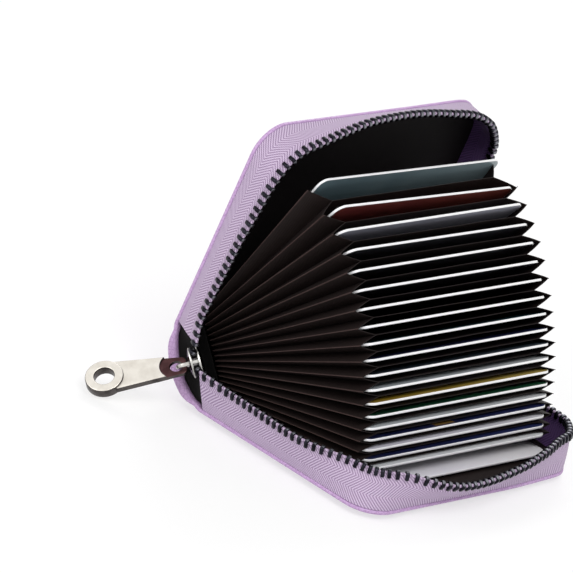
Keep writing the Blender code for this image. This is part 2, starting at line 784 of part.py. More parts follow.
def zip_slider():
    """Slider at the near end of the spine with its puller."""
    turn = math.radians(SLIDER_TURN)
    travel = Vector((-math.sin(turn), -math.cos(turn), 0))
    across = Vector((0, 0, 1))
    plate_normal = Vector((-math.cos(turn), math.sin(turn), 0))
    centre = Vector((SLIDER_X, SLIDER_OUT, SPINE_HEIGHT / 2))
    slider_axis = bpy.data.objects.new("slider_axis", None)
    basis = Matrix((travel, -across, plate_normal)).transposed()
    slider_axis.matrix_basis = Matrix.Translation(centre) @ basis.to_4x4()
    slider_axis.parent = spine_axis
    pieces.objects.link(slider_axis)
    slider_body(slider_axis)

    tilt, twist = math.radians(PULLER_TILT), math.radians(PULLER_TWIST)
    length = math.cos(tilt) * plate_normal + math.sin(tilt) * across
    width = math.cos(tilt) * across - math.sin(tilt) * plate_normal
    face = length.cross(width)
    width, face = (
        math.cos(twist) * width + math.sin(twist) * face,
        math.cos(twist) * face - math.sin(twist) * width,
    )
    hinge = centre + plate_normal * (SLIDER_HALF + BRIDGE_LEG)
    puller_axis = turned_empty("puller_axis", hinge, width, length, spine_axis)
    puller(puller_axis)


zip_slider()
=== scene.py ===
import json
import math

import bmesh
import bpy
from mathutils import Matrix, Vector, noise

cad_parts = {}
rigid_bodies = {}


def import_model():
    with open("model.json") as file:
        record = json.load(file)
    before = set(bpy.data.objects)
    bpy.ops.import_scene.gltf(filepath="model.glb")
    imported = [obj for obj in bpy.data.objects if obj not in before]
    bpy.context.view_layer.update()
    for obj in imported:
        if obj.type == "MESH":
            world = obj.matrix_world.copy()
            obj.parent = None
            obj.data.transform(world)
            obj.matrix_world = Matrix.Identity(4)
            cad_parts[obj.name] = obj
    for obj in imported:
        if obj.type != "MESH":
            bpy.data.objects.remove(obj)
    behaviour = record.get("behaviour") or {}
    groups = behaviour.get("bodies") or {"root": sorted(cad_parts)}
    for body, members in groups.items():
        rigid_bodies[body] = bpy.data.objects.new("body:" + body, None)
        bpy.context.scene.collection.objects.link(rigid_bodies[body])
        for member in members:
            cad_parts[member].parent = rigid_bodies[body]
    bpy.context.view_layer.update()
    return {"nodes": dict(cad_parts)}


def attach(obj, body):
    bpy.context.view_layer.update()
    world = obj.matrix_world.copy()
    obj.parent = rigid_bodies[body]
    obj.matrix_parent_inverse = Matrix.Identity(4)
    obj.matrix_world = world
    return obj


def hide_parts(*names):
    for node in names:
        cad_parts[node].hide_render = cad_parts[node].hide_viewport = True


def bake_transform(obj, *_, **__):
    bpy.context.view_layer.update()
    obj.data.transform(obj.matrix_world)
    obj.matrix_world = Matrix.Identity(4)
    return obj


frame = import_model()
mm = 0.001
print("frame loaded")

# Sizes shared by every piece, in millimetres and degrees. Covers are worked out flat: x along the
# spine, y from the fold line (0) to the mouth (-reach), z from the leather's inner face inwards.
holder = {
    "halfLength": 52.0,
    "reach": 72.8,
    "cornerRadius": 10.5,
    "leather": 1.2,
    "padRise": 1.8,
    "foldY": 35.8,
    "foldZ": 3.0,
    "spineHeight": 26.4,
    "spineLean": 40.0,
    "coverLean": 80.0,
    "foldRadius": 2.2,
    "cards": 20,
    "cornerDrawn": {"lower": (1.8, 1.8), "upper": (0.4, -0.3)},
    "cornerCut": {"lower": 1.4, "upper": 1.2},
}


def smooth(value, low, high):
    t = min(max((value - low) / (high - low), 0.0), 1.0)
    return t * t * (3 - 2 * t)


def curveThrough(pairs, at):  # straight lines through (position, value) pairs
    if at <= pairs[0][0]:
        return pairs[0][1]
    for (a, low), (b, high) in zip(pairs, pairs[1:]):
        if at <= b:
            return low + (high - low) * (at - a) / (b - a)
    return pairs[-1][1]


def tilted(y, z, degrees):
    a = math.radians(degrees)
    return y * math.cos(a) + z * math.sin(a), z * math.cos(a) - y * math.sin(a)


def onSpine(x, y, z):  # y from the spine's inner face outwards, z up the spine
    dy, dz = tilted(y, z, holder["spineLean"])
    return Vector((x, holder["foldY"] + dy, holder["foldZ"] + dz)) * mm


def onCover(side, x, y, z):
    # The far corner of the mouth is drawn in a little, more so on the lower cover
    drawn = smooth(x, 10.0, 52.0) * smooth(-y, 15.0, holder["reach"])
    x -= holder["cornerDrawn"][side][0] * drawn
    y += holder["cornerDrawn"][side][1] * drawn
    cut = holder["cornerCut"][side] * smooth(x, 36.0, 50.0) * smooth(-y, 57.0, 71.0)
    x, y = x - cut, y + cut
    if side == "lower":
        return Vector((x, holder["foldY"] + y, holder["foldZ"] + z)) * mm
    dy, dz = tilted(y, -z, holder["coverLean"])
    corner = onSpine(0, 0, holder["spineHeight"])
    return corner + Vector((x, dy, dz)) * mm


def edgesWithin(inset):
    # Half length, corner radius and front of a cover's outline drawn in by the inset
    return holder["halfLength"] - inset, holder["cornerRadius"] - inset, inset - holder["reach"]


# Nodes and materials


def linear(hexText):
    parts = [int(hexText[i : i + 2], 16) / 255 for i in (1, 3, 5)]
    return [c / 12.92 if c <= 0.04045 else ((c + 0.055) / 1.055) ** 2.4 for c in parts] + [1.0]


def fillInputs(tree, node, inputs):
    # A node given as a value stands for the first of its outputs that is in use
    for key, value in inputs.items():
        if isinstance(value, bpy.types.Node):
            value = next(socket for socket in value.outputs if socket.enabled)
        if isinstance(value, bpy.types.NodeSocket):
            tree.links.new(value, node.inputs[key])
        else:
            node.inputs[key].default_value = value


def addNode(tree, kind, inputs=None, stops=(), **settings):
    # A node with its settings, its links or values by input, and a colour ramp's stops. A kind
    # without a prefix is a shader node
    node = tree.nodes.new(kind if "Node" in kind else "ShaderNode" + kind)
    for name, value in settings.items():
        setattr(node, name, value)
    fillInputs(tree, node, inputs or {})
    for index, (at, colour) in enumerate(stops):
        elements = node.color_ramp.elements
        element = elements[index] if index < len(elements) else elements.new(at)
        element.position = at
        element.color = linear(colour)
    return node


def newFinish(name, roughness, metallic=0.0, **extra):
    made = bpy.data.materials.new(name)
    made.use_nodes = True
    tree = made.node_tree
    values = {key.replace("_", " "): value for key, value in extra.items()}
    values |= {"Roughness": roughness, "Metallic": metallic}
    fillInputs(tree, tree.nodes["Principled BSDF"], values)
    return made, tree


def dressed(made, colour, height, strength, depth, **extra):
    # The finish with its colour, its relief from a height in mm, and its roughness where that varies
    tree = made.node_tree
    bump = addNode(tree, "Bump", {"Height": height, "Strength": strength, "Distance": depth * mm})
    values = {"Base Color": colour, "Normal": bump, **extra}
    fillInputs(tree, tree.nodes["Principled BSDF"], values)
    return made


leatherLook = {
    "hollow": "#A57FB1",
    "body": "#CBA6D6",
    "crest": "#DCBCE5",
    "cell": 2.3,          # width of a pebble in mm
    "relief": 0.28,
    "roughness": 0.42,
}


def pebbledLeather(name, look):
    # Lilac goat leather, drum-dyed and plated: soft pebbles with a satin top and darker hollows
    made, tree = newFinish(name, look["roughness"], Coat_Weight=0.12, Coat_Roughness=0.25)
    where = addNode(tree, "TexCoord").outputs["Object"]
    warp = addNode(tree, "TexNoise", {"Vector": where, "Scale": 260.0, "Detail": 2.0})
    push = addNode(
        tree, "VectorMath", {0: warp.outputs["Color"], 1: (0.0016,) * 3}, operation="MULTIPLY"
    )
    moved = addNode(tree, "VectorMath", {0: where, 1: push}, operation="ADD")
    cellScale = 1 / (look["cell"] * mm)
    cells = addNode(
        tree, "TexVoronoi", {"Vector": moved, "Scale": cellScale}, feature="DISTANCE_TO_EDGE"
    )
    small = addNode(
        tree, "TexVoronoi", {"Vector": moved, "Scale": cellScale * 2.1},
        feature="DISTANCE_TO_EDGE",
    )
    pebble = addNode(
        tree, "MapRange", {"Value": cells, "From Max": 0.22},
        interpolation_type="SMOOTHSTEP",
    )
    fine = addNode(
        tree, "MapRange", {"Value": small, "From Max": 0.2, "To Max": 0.45},
        interpolation_type="SMOOTHSTEP",
    )
    height = addNode(tree, "Math", {0: pebble, 1: fine}, operation="ADD")
    pores = addNode(tree, "TexNoise", {"Vector": where, "Scale": 2400.0, "Detail": 3.0})
    grain = addNode(tree, "Math", {0: pores, 1: 0.16, 2: height}, operation="MULTIPLY_ADD")
    tone = addNode(
        tree, "ValToRGB", {"Fac": height},
        [(0.0, look["hollow"]), (0.42, look["body"]), (1.0, look["crest"])],
    )
    patch = addNode(tree, "TexNoise", {"Vector": where, "Scale": 45.0, "Detail": 4.0})
    shade = addNode(tree, "MapRange", {"Value": patch, "To Min": 0.93, "To Max": 1.05})
    mixed = addNode(tree, "VectorMath", {0: tone, "Scale": shade}, operation="SCALE")
    rough = addNode(
        tree, "MapRange",
        {
            "Value": height, "From Max": 1.4,
            "To Min": look["roughness"] + 0.16, "To Max": look["roughness"] - 0.06,
        },
    )
    return dressed(made, mixed, grain, 0.85, look["relief"], Roughness=rough)


tapeWeave = {"band": 4.2, "rib": 1.05, "thread": 0.5}  # millimetres


def wovenTape(name, light, dark, shadow):
    # Polyester zip tape, herringbone woven: slanting ribs turn at every band, crossed by threads
    made, tree = newFinish(name, 0.82, Sheen_Weight=0.12, Sheen_Roughness=0.4)
    uv = addNode(tree, "UVMap", uv_map="UVMap")  # millimetres
    parts = addNode(tree, "SeparateXYZ", {"Vector": uv})
    zigzag = addNode(tree, "Math", {0: parts.outputs["Y"], 1: tapeWeave["band"]}, operation="PINGPONG")
    slant = addNode(tree, "Math", {0: zigzag, 1: parts.outputs["X"]}, operation="ADD")
    waves = []
    for run, key in ((slant, "rib"), (parts.outputs["X"], "thread")):
        turn = addNode(tree, "Math", {0: run, 1: 2 * math.pi / tapeWeave[key]}, operation="MULTIPLY")
        waves.append(addNode(tree, "Math", {0: turn}, operation="SINE"))
    rib, cross = waves
    both = addNode(tree, "Math", {0: cross, 1: 0.35, 2: rib}, operation="MULTIPLY_ADD")
    height = addNode(tree, "MapRange", {"Value": both, "From Min": -1.3, "From Max": 1.3})
    fuzz = addNode(tree, "TexNoise", {"Vector": uv, "Scale": 3.0, "Detail": 3.0})
    blended = addNode(tree, "Math", {0: fuzz, 1: 0.35, 2: height}, operation="MULTIPLY_ADD")
    tone = addNode(tree, "ValToRGB", {"Fac": blended}, [(0.0, shadow), (0.55, dark), (1.0, light)])
    return dressed(made, tone, blended, 0.7, 0.15)


def wovenCloth(name, light, dark, thread, roughness, sheen, creaseHighlight=None):
    # Plain-woven polyester: threads one over one, with a little unevenness from thread to thread
    made, tree = newFinish(name, roughness, Sheen_Weight=sheen, Specular_IOR_Level=0.18)
    uv = addNode(tree, "UVMap", uv_map="UVMap")
    parts = addNode(tree, "SeparateXYZ", {"Vector": uv})
    waves = []
    for axis in ("X", "Y"):
        turn = addNode(
            tree, "Math", {0: parts.outputs[axis], 1: math.pi / thread}, operation="MULTIPLY"
        )
        waves.append(addNode(tree, "Math", {0: turn}, operation="SINE"))
    weave = addNode(tree, "Math", {0: waves[0], 1: waves[1]}, operation="MULTIPLY")
    height = addNode(tree, "MapRange", {"Value": weave, "From Min": -1.0})
    slub = addNode(tree, "TexNoise", {"Vector": uv, "Scale": 0.25, "Detail": 5.0, "Roughness": 0.6})
    blended = addNode(tree, "Math", {0: slub, 1: 0.9, 2: height}, operation="MULTIPLY_ADD")
    tone = addNode(tree, "ValToRGB", {"Fac": blended}, [(0.2, dark), (1.0, light)])
    if creaseHighlight:
        # The sharp folds are painted lighter as a painted highlight: an attribute is 1 on them and falls off
        # beside them
        highlightShare = addNode(tree, "Attribute", attribute_name="creaseHighlight").outputs["Fac"]
        line = addNode(
            tree, "MapRange", {"Value": highlightShare, "From Min": 0.55, "From Max": 0.95},
            interpolation_type="SMOOTHSTEP",
        )
        tone = addNode(tree, "Mix", {"Factor": line, 6: tone, 7: linear(creaseHighlight)}, data_type="RGBA")
    return dressed(made, tone, blended, 0.5, 0.08)


def castMetal(name, light, dark, roughness, grit, tip=None):
    # Die-cast zinc, plated and tumbled: soft highlights, faint scratches, and a tone that varies in patches
    made, tree = newFinish(name, roughness, 1.0)
    where = addNode(tree, "TexCoord").outputs["Object"]
    stretch = addNode(tree, "Mapping", {"Vector": where, "Scale": (1.0, 5.0, 5.0)})
    brush = addNode(tree, "TexNoise", {"Vector": stretch, "Scale": 1 / (grit * mm), "Detail": 4.0})
    cloud = addNode(tree, "TexNoise", {"Vector": where, "Scale": 300.0, "Detail": 3.0})
    tone = addNode(tree, "ValToRGB", {"Fac": cloud}, [(0.3, dark), (0.62, light)])
    if tip:
        # Painted glint: the tip colour is laid on where the attribute is 1
        highlightShare = addNode(tree, "Attribute", attribute_name="tip").outputs["Fac"]
        tone = addNode(tree, "Mix", {"Factor": highlightShare, 6: tone, 7: linear(tip)}, data_type="RGBA")
    rough = addNode(
        tree, "MapRange",
        {"Value": brush, "To Min": roughness - 0.08, "To Max": roughness + 0.14},
    )
    return dressed(made, tone, brush, 0.18, 0.05, Roughness=rough)


def cardPrint(name, face, band, patch=None):
    # Printed and laminated PVC under a satin film: the colour runs from the darker face tone to the paler
    # one along the card's length, with a little noise
    made, tree = newFinish(name, 0.3, Coat_Weight=0.3, Coat_Roughness=0.12)
    uv = addNode(tree, "UVMap", uv_map="UVMap")  # millimetres on the card
    parts = addNode(tree, "SeparateXYZ", {"Vector": uv})
    drift = addNode(tree, "TexNoise", {"Vector": uv, "Scale": 0.05, "Detail": 3.0})
    slope = addNode(tree, "Math", {0: parts.outputs["X"], 1: 0.012, 2: drift}, operation="MULTIPLY_ADD")
    tone = addNode(tree, "ValToRGB", {"Fac": slope}, [(0.15, face), (0.95, band)])
    if patch:
        # A plain coloured field, given by its middle and half size in mm
        (x, y), (halfX, halfY), colour = patch
        across, along = (
            addNode(tree, "Math", {0: parts.outputs[axis], 1: middle, 2: half}, operation="COMPARE")
            for axis, middle, half in (("X", x, halfX), ("Y", y, halfY))
        )
        inside = addNode(tree, "Math", {0: across, 1: along}, operation="MULTIPLY")
        tone = addNode(tree, "Mix", {"Factor": inside, 6: tone, 7: linear(colour)}, data_type="RGBA")
    ink = addNode(tree, "TexNoise", {"Vector": uv, "Scale": 6.0, "Detail": 2.0})
    rough = addNode(tree, "MapRange", {"Value": ink, "To Min": 0.24, "To Max": 0.36})
    return dressed(made, tone, ink, 0.08, 0.03, Roughness=rough)


def spunThread(name, light, dark):
    # Bonded polyester thread, three-ply: the twist shows as fine slanting ridges
    made, tree = newFinish(name, 0.55, Sheen_Weight=0.3)
    where = addNode(tree, "TexCoord").outputs["Object"]
    twist = addNode(
        tree, "TexWave", {"Vector": where, "Scale": 700.0, "Distortion": 1.0},
        bands_direction="DIAGONAL",
    ).outputs["Fac"]
    tone = addNode(tree, "ValToRGB", {"Fac": twist}, [(0.0, dark), (0.7, light)])
    return dressed(made, tone, twist, 0.5, 0.06)


goatLeather = pebbledLeather("pebbledGoatLeather", leatherLook)
# The turned edge: smoother leather, its tones darker than the face as painted shade
shadedEdgeLeather = pebbledLeather(
    "turnedLeatherEdgeShaded",
    {
        **leatherLook, "cell": 1.4, "relief": 0.06,
        "hollow": "#AE8AB9", "body": "#BC98C7", "crest": "#C6A4D0",
    },
)
lilacTape = wovenTape("herringboneTape", "#D2C0D8", "#AE96B7", "#6F5C78")
# Painted shade: a darker purple copy of the tape for its inner face
shadedTapeInside = wovenTape("tapeInsideShaded", "#704E8C", "#5E4176", "#3C2A52")
blackLining = wovenCloth("liningTaffeta", "#110D0E", "#060505", 0.28, 0.7, 0.0)
# Painted shade: a darker copy of the lining for the corner gussets and the spine strip
shadedCornerCloth = wovenCloth("cornerTaffetaShaded", "#070606", "#020202", 0.28, 0.85, 0.0)
# Pleats: the last colour is a painted highlight along the folds
pleatCloth = wovenCloth("pleatedSatin", "#211918", "#100B0A", 0.3, 0.6, 0.0, "#443533")
# Teeth: the last colour is a painted glint on the teeth's tops
gunmetal = castMetal("gunmetalTeeth", "#2C2C33", "#131217", 0.3, 0.4, "#808087")
nickel = castMetal("brushedNickel", "#EAE5DC", "#DAD4CA", 0.34, 0.5)
# Painted shade: a darker copy of the nickel for the puller's sideways faces
shadedSideNickel = castMetal("shadedNickelSides", "#5A5553", "#3A3635", 0.3, 0.5)
# Painted shade: a dark brown copy of the nickel for the puller's recess
shadedRecessNickel = castMetal("recessedNickelShaded", "#543A3B", "#3C2728", 0.36, 0.5)
sliderMetal = castMetal("blackNickelSlider", "#2C2C30", "#131316", 0.16, 0.4)
# Painted highlight: a bright copy of the metal for the black slider's rims, post and bridge
sliderHighlight = castMetal("paintedHighlightEdge", "#DAD8D3", "#A5A29F", 0.3, 0.4)
stitchThread = spunThread("lilacThread", "#E3C6EC", "#BC9AC9")
# Painted shade: dark ovals along the stitching stand for the shade in the needle holes
holeShadeCloth = wovenCloth("needleHoleShade", "#3D2A46", "#22142A", 0.2, 0.9, 0.0)
cardCore = cardPrint("whiteCardCore", "#F4F4F6", "#FCFCFC")
print("materials ready")


# Mesh helpers


def linkedObject(name, data):
    thing = bpy.data.objects.new(name, data)
    bpy.context.scene.collection.objects.link(thing)
    return thing


def takeMesh(name, bm):
    data = bpy.data.meshes.new(name)
    bm.to_mesh(data)
    bm.free()
    return linkedObject(name, data)


def makePiece(name, vertices, faces, finishes, faceFinish=None, uv=None):
    data = bpy.data.meshes.new(name)
    data.from_pydata(vertices, [], faces)
    for finish in finishes:
        data.materials.append(finish)
    if faceFinish:
        data.polygons.foreach_set("material_index", faceFinish)
    data.polygons.foreach_set("use_smooth", [True] * len(faces))
    if uv:
        layer = data.uv_layers.new(name="UVMap")
        for loop in data.loops:
            layer.data[loop.index].uv = uv[loop.vertex_index]
    data.update()
    return linkedObject(name, data)


def bakeModifiers(piece):
    graph = bpy.context.evaluated_depsgraph_get()
    data = bpy.data.meshes.new_from_object(piece.evaluated_get(graph))
    piece.modifiers.clear()
    piece.data = data
    return piece


def turnOutwards(bm):
    bmesh.ops.recalc_face_normals(bm, faces=bm.faces)
    if bm.calc_volume(signed=True) < 0:
        bmesh.ops.reverse_faces(bm, faces=bm.faces)


def cleanMesh(piece, distance=0.002):
    bm = bmesh.new()
    bm.from_mesh(piece.data)
    bmesh.ops.remove_doubles(bm, verts=bm.verts, dist=distance * mm)
    turnOutwards(bm)
    bm.to_mesh(piece.data)
    bm.free()
    return piece


def shadeByAngle(piece, degrees):
    bm = bmesh.new()
    bm.from_mesh(piece.data)
    for face in bm.faces:
        face.smooth = True
    for edge in bm.edges:
        edge.smooth = len(edge.link_faces) == 2 and edge.calc_face_angle(0) < math.radians(degrees)
    bm.to_mesh(piece.data)
    bm.free()
    return piece


def gridFaces(rows, wide, base=0):
    firsts = [base + r * wide + c for r in range(rows - 1) for c in range(wide - 1)]
    return [(a, a + 1, a + wide + 1, a + wide) for a in firsts]


def ringFaces(rings, wide):
    # Quads between rings of points that each close on themselves, and a cap at either end
    quads = [
        (r * wide + c, r * wide + (c + 1) % wide, (r + 1) * wide + (c + 1) % wide, (r + 1) * wide + c)
        for r in range(rings - 1)
        for c in range(wide)
    ]
    return quads + [tuple(range(wide)), tuple(range((rings - 1) * wide, rings * wide))]


def arcPoints(cx, cy, radius, start, end, steps):
    angles = [math.radians(start + (end - start) * i / steps) for i in range(steps + 1)]
    return [(cx + radius * math.cos(a), cy + radius * math.sin(a)) for a in angles]


def sheetPiece(name, grid, thickness, finishes, carried=None):
    # Rows of (point, place on the flat cloth, value) made into cloth of one thickness. The second
    # finish is the back's, and the values become the points' attribute of the carried name
    spots = [spot for row in grid for spot in row]
    points, places = [spot[0] for spot in spots], [spot[1] for spot in spots]
    piece = makePiece(name, points, gridFaces(len(grid), len(grid[0])), finishes, uv=places)
    if carried:
        layer = piece.data.attributes.new(carried, "FLOAT", "POINT")
        layer.data.foreach_set("value", [spot[2] for spot in spots])
    wall = piece.modifiers.new("thickness", "SOLIDIFY")
    wall.thickness = thickness * mm
    wall.offset = 0
    wall.use_even_offset = True
    if len(finishes) > 1:
        wall.material_offset = 1
        wall.material_offset_rim = 0
    return shadeByAngle(bakeModifiers(piece), 50)


def joinPieces(name, parts):
    bm = bmesh.new()
    finishes = []
    for part in parts:
        offset = len(finishes)
        finishes += list(part.data.materials)
        start = len(bm.faces)
        bm.from_mesh(part.data)
        bm.faces.ensure_lookup_table()
        for face in bm.faces[start:]:
            face.material_index += offset
        bpy.data.objects.remove(part, do_unlink=True)
    piece = takeMesh(name, bm)
    unique = list(dict.fromkeys(finishes))
    for finish in unique:
        piece.data.materials.append(finish)
    kinds = [unique.index(finishes[polygon.material_index]) for polygon in piece.data.polygons]
    piece.data.polygons.foreach_set("material_index", kinds)
    return piece


def repeatAlong(name, spots, shape, finish, variation, seed, size=1.0):
    # Copies of a small shape, one at each (point, along, up), laid out by Geometry Nodes
    data = bpy.data.meshes.new(name)
    data.from_pydata([s[0] for s in spots], [], [])
    for key, index in (("along", 1), ("up", 2)):
        layer = data.attributes.new(key, "FLOAT_VECTOR", "POINT")
        for i, spot in enumerate(spots):
            layer.data[i].vector = spot[index]
    piece = linkedObject(name, data)
    tree = bpy.data.node_groups.new(name + "Layout", "GeometryNodeTree")
    tree.interface.new_socket("Geometry", in_out="INPUT", socket_type="NodeSocketGeometry")
    sockets = [
        tree.interface.new_socket(label, in_out="INPUT", socket_type="NodeSocket" + kind)
        for label, kind in (("Shape", "Object"), ("Size", "Float"), ("Variation", "Float"))
    ]
    tree.interface.new_socket("Geometry", in_out="OUTPUT", socket_type="NodeSocketGeometry")
    start = addNode(tree, "NodeGroupInput")
    up, along = (
        addNode(tree, "GeometryNodeInputNamedAttribute", {"Name": key}, data_type="FLOAT_VECTOR")
        for key in ("up", "along")
    )
    turn = addNode(
        tree, "FunctionNodeAxesToRotation", {"Primary Axis": up, "Secondary Axis": along},
        primary_axis="Z", secondary_axis="X",
    )
    model = addNode(tree, "GeometryNodeObjectInfo", {"Object": start.outputs["Shape"]})
    low, high = (
        addNode(tree, "Math", {0: start.outputs["Size"], 1: start.outputs["Variation"]}, operation=way)
        for way in ("SUBTRACT", "ADD")
    )
    chance = addNode(
        tree, "FunctionNodeRandomValue", {"Min": low, "Max": high, "Seed": seed}, data_type="FLOAT"
    )
    placed = addNode(
        tree, "GeometryNodeInstanceOnPoints",
        {
            "Points": start.outputs["Geometry"], "Instance": model.outputs["Geometry"],
            "Rotation": turn, "Scale": chance,
        },
    )
    solid = addNode(tree, "GeometryNodeRealizeInstances", {"Geometry": placed})
    painted = addNode(tree, "GeometryNodeSetMaterial", {"Geometry": solid, "Material": finish})
    addNode(tree, "NodeGroupOutput", {"Geometry": painted})
    layout = piece.modifiers.new("layout", "NODES")
    layout.node_group = tree
    for socket, value in zip(sockets, (shape, size, variation)):
        layout[socket.identifier] = value
    return bakeModifiers(piece)


def prismShape(name, outline, depth, bevel):
    # An outline in the YZ plane made into a small solid along X with soft edges, as a pattern shape
    bm = bmesh.new()
    face = bm.faces.new([bm.verts.new((-depth / 2 * mm, y * mm, z * mm)) for y, z in outline])
    grown = bmesh.ops.extrude_face_region(bm, geom=[face])
    for item in grown["geom"]:
        if isinstance(item, bmesh.types.BMVert):
            item.co.x += depth * mm
    bmesh.ops.recalc_face_normals(bm, faces=bm.faces)
    bmesh.ops.bevel(bm, geom=list(bm.edges), offset=bevel * mm, segments=1, affect="EDGES", profile=0.5)
    shape = takeMesh(name, bm)
    shape.data.shade_smooth()
    return shape


def ovalShape(name, length, width, height, segments, rings):
    bm = bmesh.new()
    bmesh.ops.create_uvsphere(bm, u_segments=segments, v_segments=rings, radius=0.5)
    for vert in bm.verts:
        vert.co = (vert.co.z * length * mm, vert.co.x * width * mm, vert.co.y * height * mm)
    bmesh.ops.recalc_face_normals(bm, faces=bm.faces)
    shape = takeMesh(name, bm)
    shape.data.shade_smooth()
    return shape


def ownShares(piece):
    # The shares that a sheet was made with
    layer = piece.data.attributes["share"]
    shares = [item.value for item in layer.data]
    piece.data.attributes.remove(layer)
    return shares


def takeShares(piece, shares=None):
    # Reads the piece's own shares when none are given; nothing further is done with them
    shares = shares or ownShares(piece)


def goWithSpine(piece, side, shares=None):
    # shares say how far each point goes with the spine and not with the cover
    blendLike(piece, side)
    shares = shares or ownShares(piece)
    takeShares(piece, shares if side == "lower" else [1.0 - share for share in shares])


def blendLike(piece, side):
    # Bakes the piece in place. The bodies, and a start and end either side of the fold line, are passed but
    # not used
    if side == "lower":
        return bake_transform(piece, "lower_cover", "spine", onCover("lower", 0, -5, 0), onSpine(0, 0, 5))
    high = holder["spineHeight"]
    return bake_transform(piece, "spine", "upper_cover", onSpine(0, 0, high - 5), onCover("upper", 0, -5, 0))


# Leather shell: each half is a cover, its fold and half of the spine in one skin

shell = {
    "rim": [
        (0.0, -0.6), (0.06, -0.3), (0.22, -0.08), (0.5, 0.06), (0.9, 0.16), (1.4, 0.2), (2.0, 0.15),
        (2.45, 0.0), (2.75, -0.16), (3.0, -0.24), (3.25, -0.16), (3.7, 0.0), (10.5, 0.0),
    ],
    "padFrom": 3.1,
    "padTo": 8.4,
    "rings": [
        0.0, 0.06, 0.22, 0.5, 0.9, 1.4, 2.0, 2.45, 2.75, 3.0, 3.25, 3.7, 4.3, 5.0, 5.8, 6.7, 7.8, 9.0,
        10.5,
    ],
    "innerRings": [(0.0, 0.6), (0.06, 0.2), (0.25, 0.0), (1.6, 0.0), (10.5, 0.0)],
    "puckerDepth": 0.07,
    "ripple": 0.16,
    "crown": 4.2,
    "spineRise": 2.2,
    "smoothEdge": 0.9,
    "step": 1.25,
    "stitchInset": 3.0,
    "stitchPitch": 2.5,
    "spineHalf": 13.2,
    "fill": 0.3,
}


def crownAt(s):
    # The opened spine bows outwards between its two folds
    t = min(max(s / holder["spineHeight"], 0.0), 1.0)
    return shell["crown"] * 4 * t * (1 - t) * smooth(s, 0.0, 3.0)


def riseAt(s):
    # Padding under the spine's leather, which makes its turned end edge as thick as it looks
    return shell["spineRise"] * smooth(s, -1.5, 6.0)


def foldPoint(s, out):
    # s runs from the cover (negative) over the fold to the spine, and out is from the inner face
    radius = holder["foldRadius"]
    turn = 90.0 - holder["spineLean"]
    length = radius * math.tan(math.radians(turn / 2))
    if s <= -length:
        return s, -out
    if s >= length:
        return tilted(out, s, holder["spineLean"])
    reach = radius / math.cos(math.radians(turn / 2))
    middle = math.radians(90 + turn / 2)
    centre = (reach * math.cos(middle), reach * math.sin(middle))
    a = math.radians(-90 + turn * (s + length) / (2 * length))
    return centre[0] + (radius + out) * math.cos(a), centre[1] + (radius + out) * math.sin(a)


def shellPoint(side, x, s, out):
    y, z = foldPoint(s, out + crownAt(s))
    return onCover(side, x, y, z)


def shellHeight(side, x, s, d, run):
    # How far the outer face stands from the inner face at distance d from the edge
    high = holder["leather"] + curveThrough(shell["rim"], d)
    pad = smooth(d, shell["padFrom"], shell["padTo"]) * smooth(-s, 2.5, 8.5)
    high += holder["padRise"] * pad
    pucker = math.cos(2 * math.pi * run / shell["stitchPitch"])
    near = math.exp(-(((d - shell["stitchInset"]) / 1.3) ** 2))
    high += shell["puckerDepth"] * pucker * near
    place = Vector((x * 0.055, s * 0.055, 3.0 if side == "lower" else 9.0))
    wave = noise.noise(place) + 0.45 * noise.noise(place * 2.6)
    high += shell["ripple"] * wave * smooth(d, 2.5, 9.0) * smooth(-s, 1.0, 8.0)
    limit = holder["leather"] + holder["padRise"] + (0.0 if side == "lower" else 0.25)
    return min(high, limit) + riseAt(s)


def shellSurface(rings, heightOf):
    # The face of one half as grids of points: rows across the spine and cover, and the mouth's rings
    half, reach, radius = holder["halfLength"], holder["reach"], holder["cornerRadius"]
    shoulder = -(reach - radius)
    inner = half - radius
    count = round(2 * inner / shell["step"])
    middle = [-inner + 2 * inner * i / count for i in range(1, count)]
    columns = [(-half + d, d) for d in rings] + [(x, radius) for x in middle]
    columns += [(half - d, d) for d in reversed(rings)]
    rows = [shell["spineHalf"] - i * 1.1 for i in range(11)]
    rows += [1.2 - 0.3 * i for i in range(9)]
    start = rows[-1] - 0.6
    steps = round((start - shoulder) / shell["step"])
    rows += [start + (shoulder - start) * i / steps for i in range(steps + 1)]
    field = [[heightOf(x, s, d, s) for x, d in columns] for s in rows]
    mouth = [[heightOf(x, -reach + d, d, x) for x in [-inner, *middle, inner]] for d in rings]
    turns = round(radius * math.pi / 2 / shell["step"])

    def cornerPoint(sign, d, a):
        x = sign * (inner + (radius - d) * math.cos(a))
        return heightOf(x, shoulder - (radius - d) * math.sin(a), d, a * radius)

    corners = [
        [[cornerPoint(sign, d, math.pi / 2 * i / turns) for i in range(turns + 1)] for d in rings]
        for sign in (-1, 1)
    ]
    return [field, mouth, *corners]


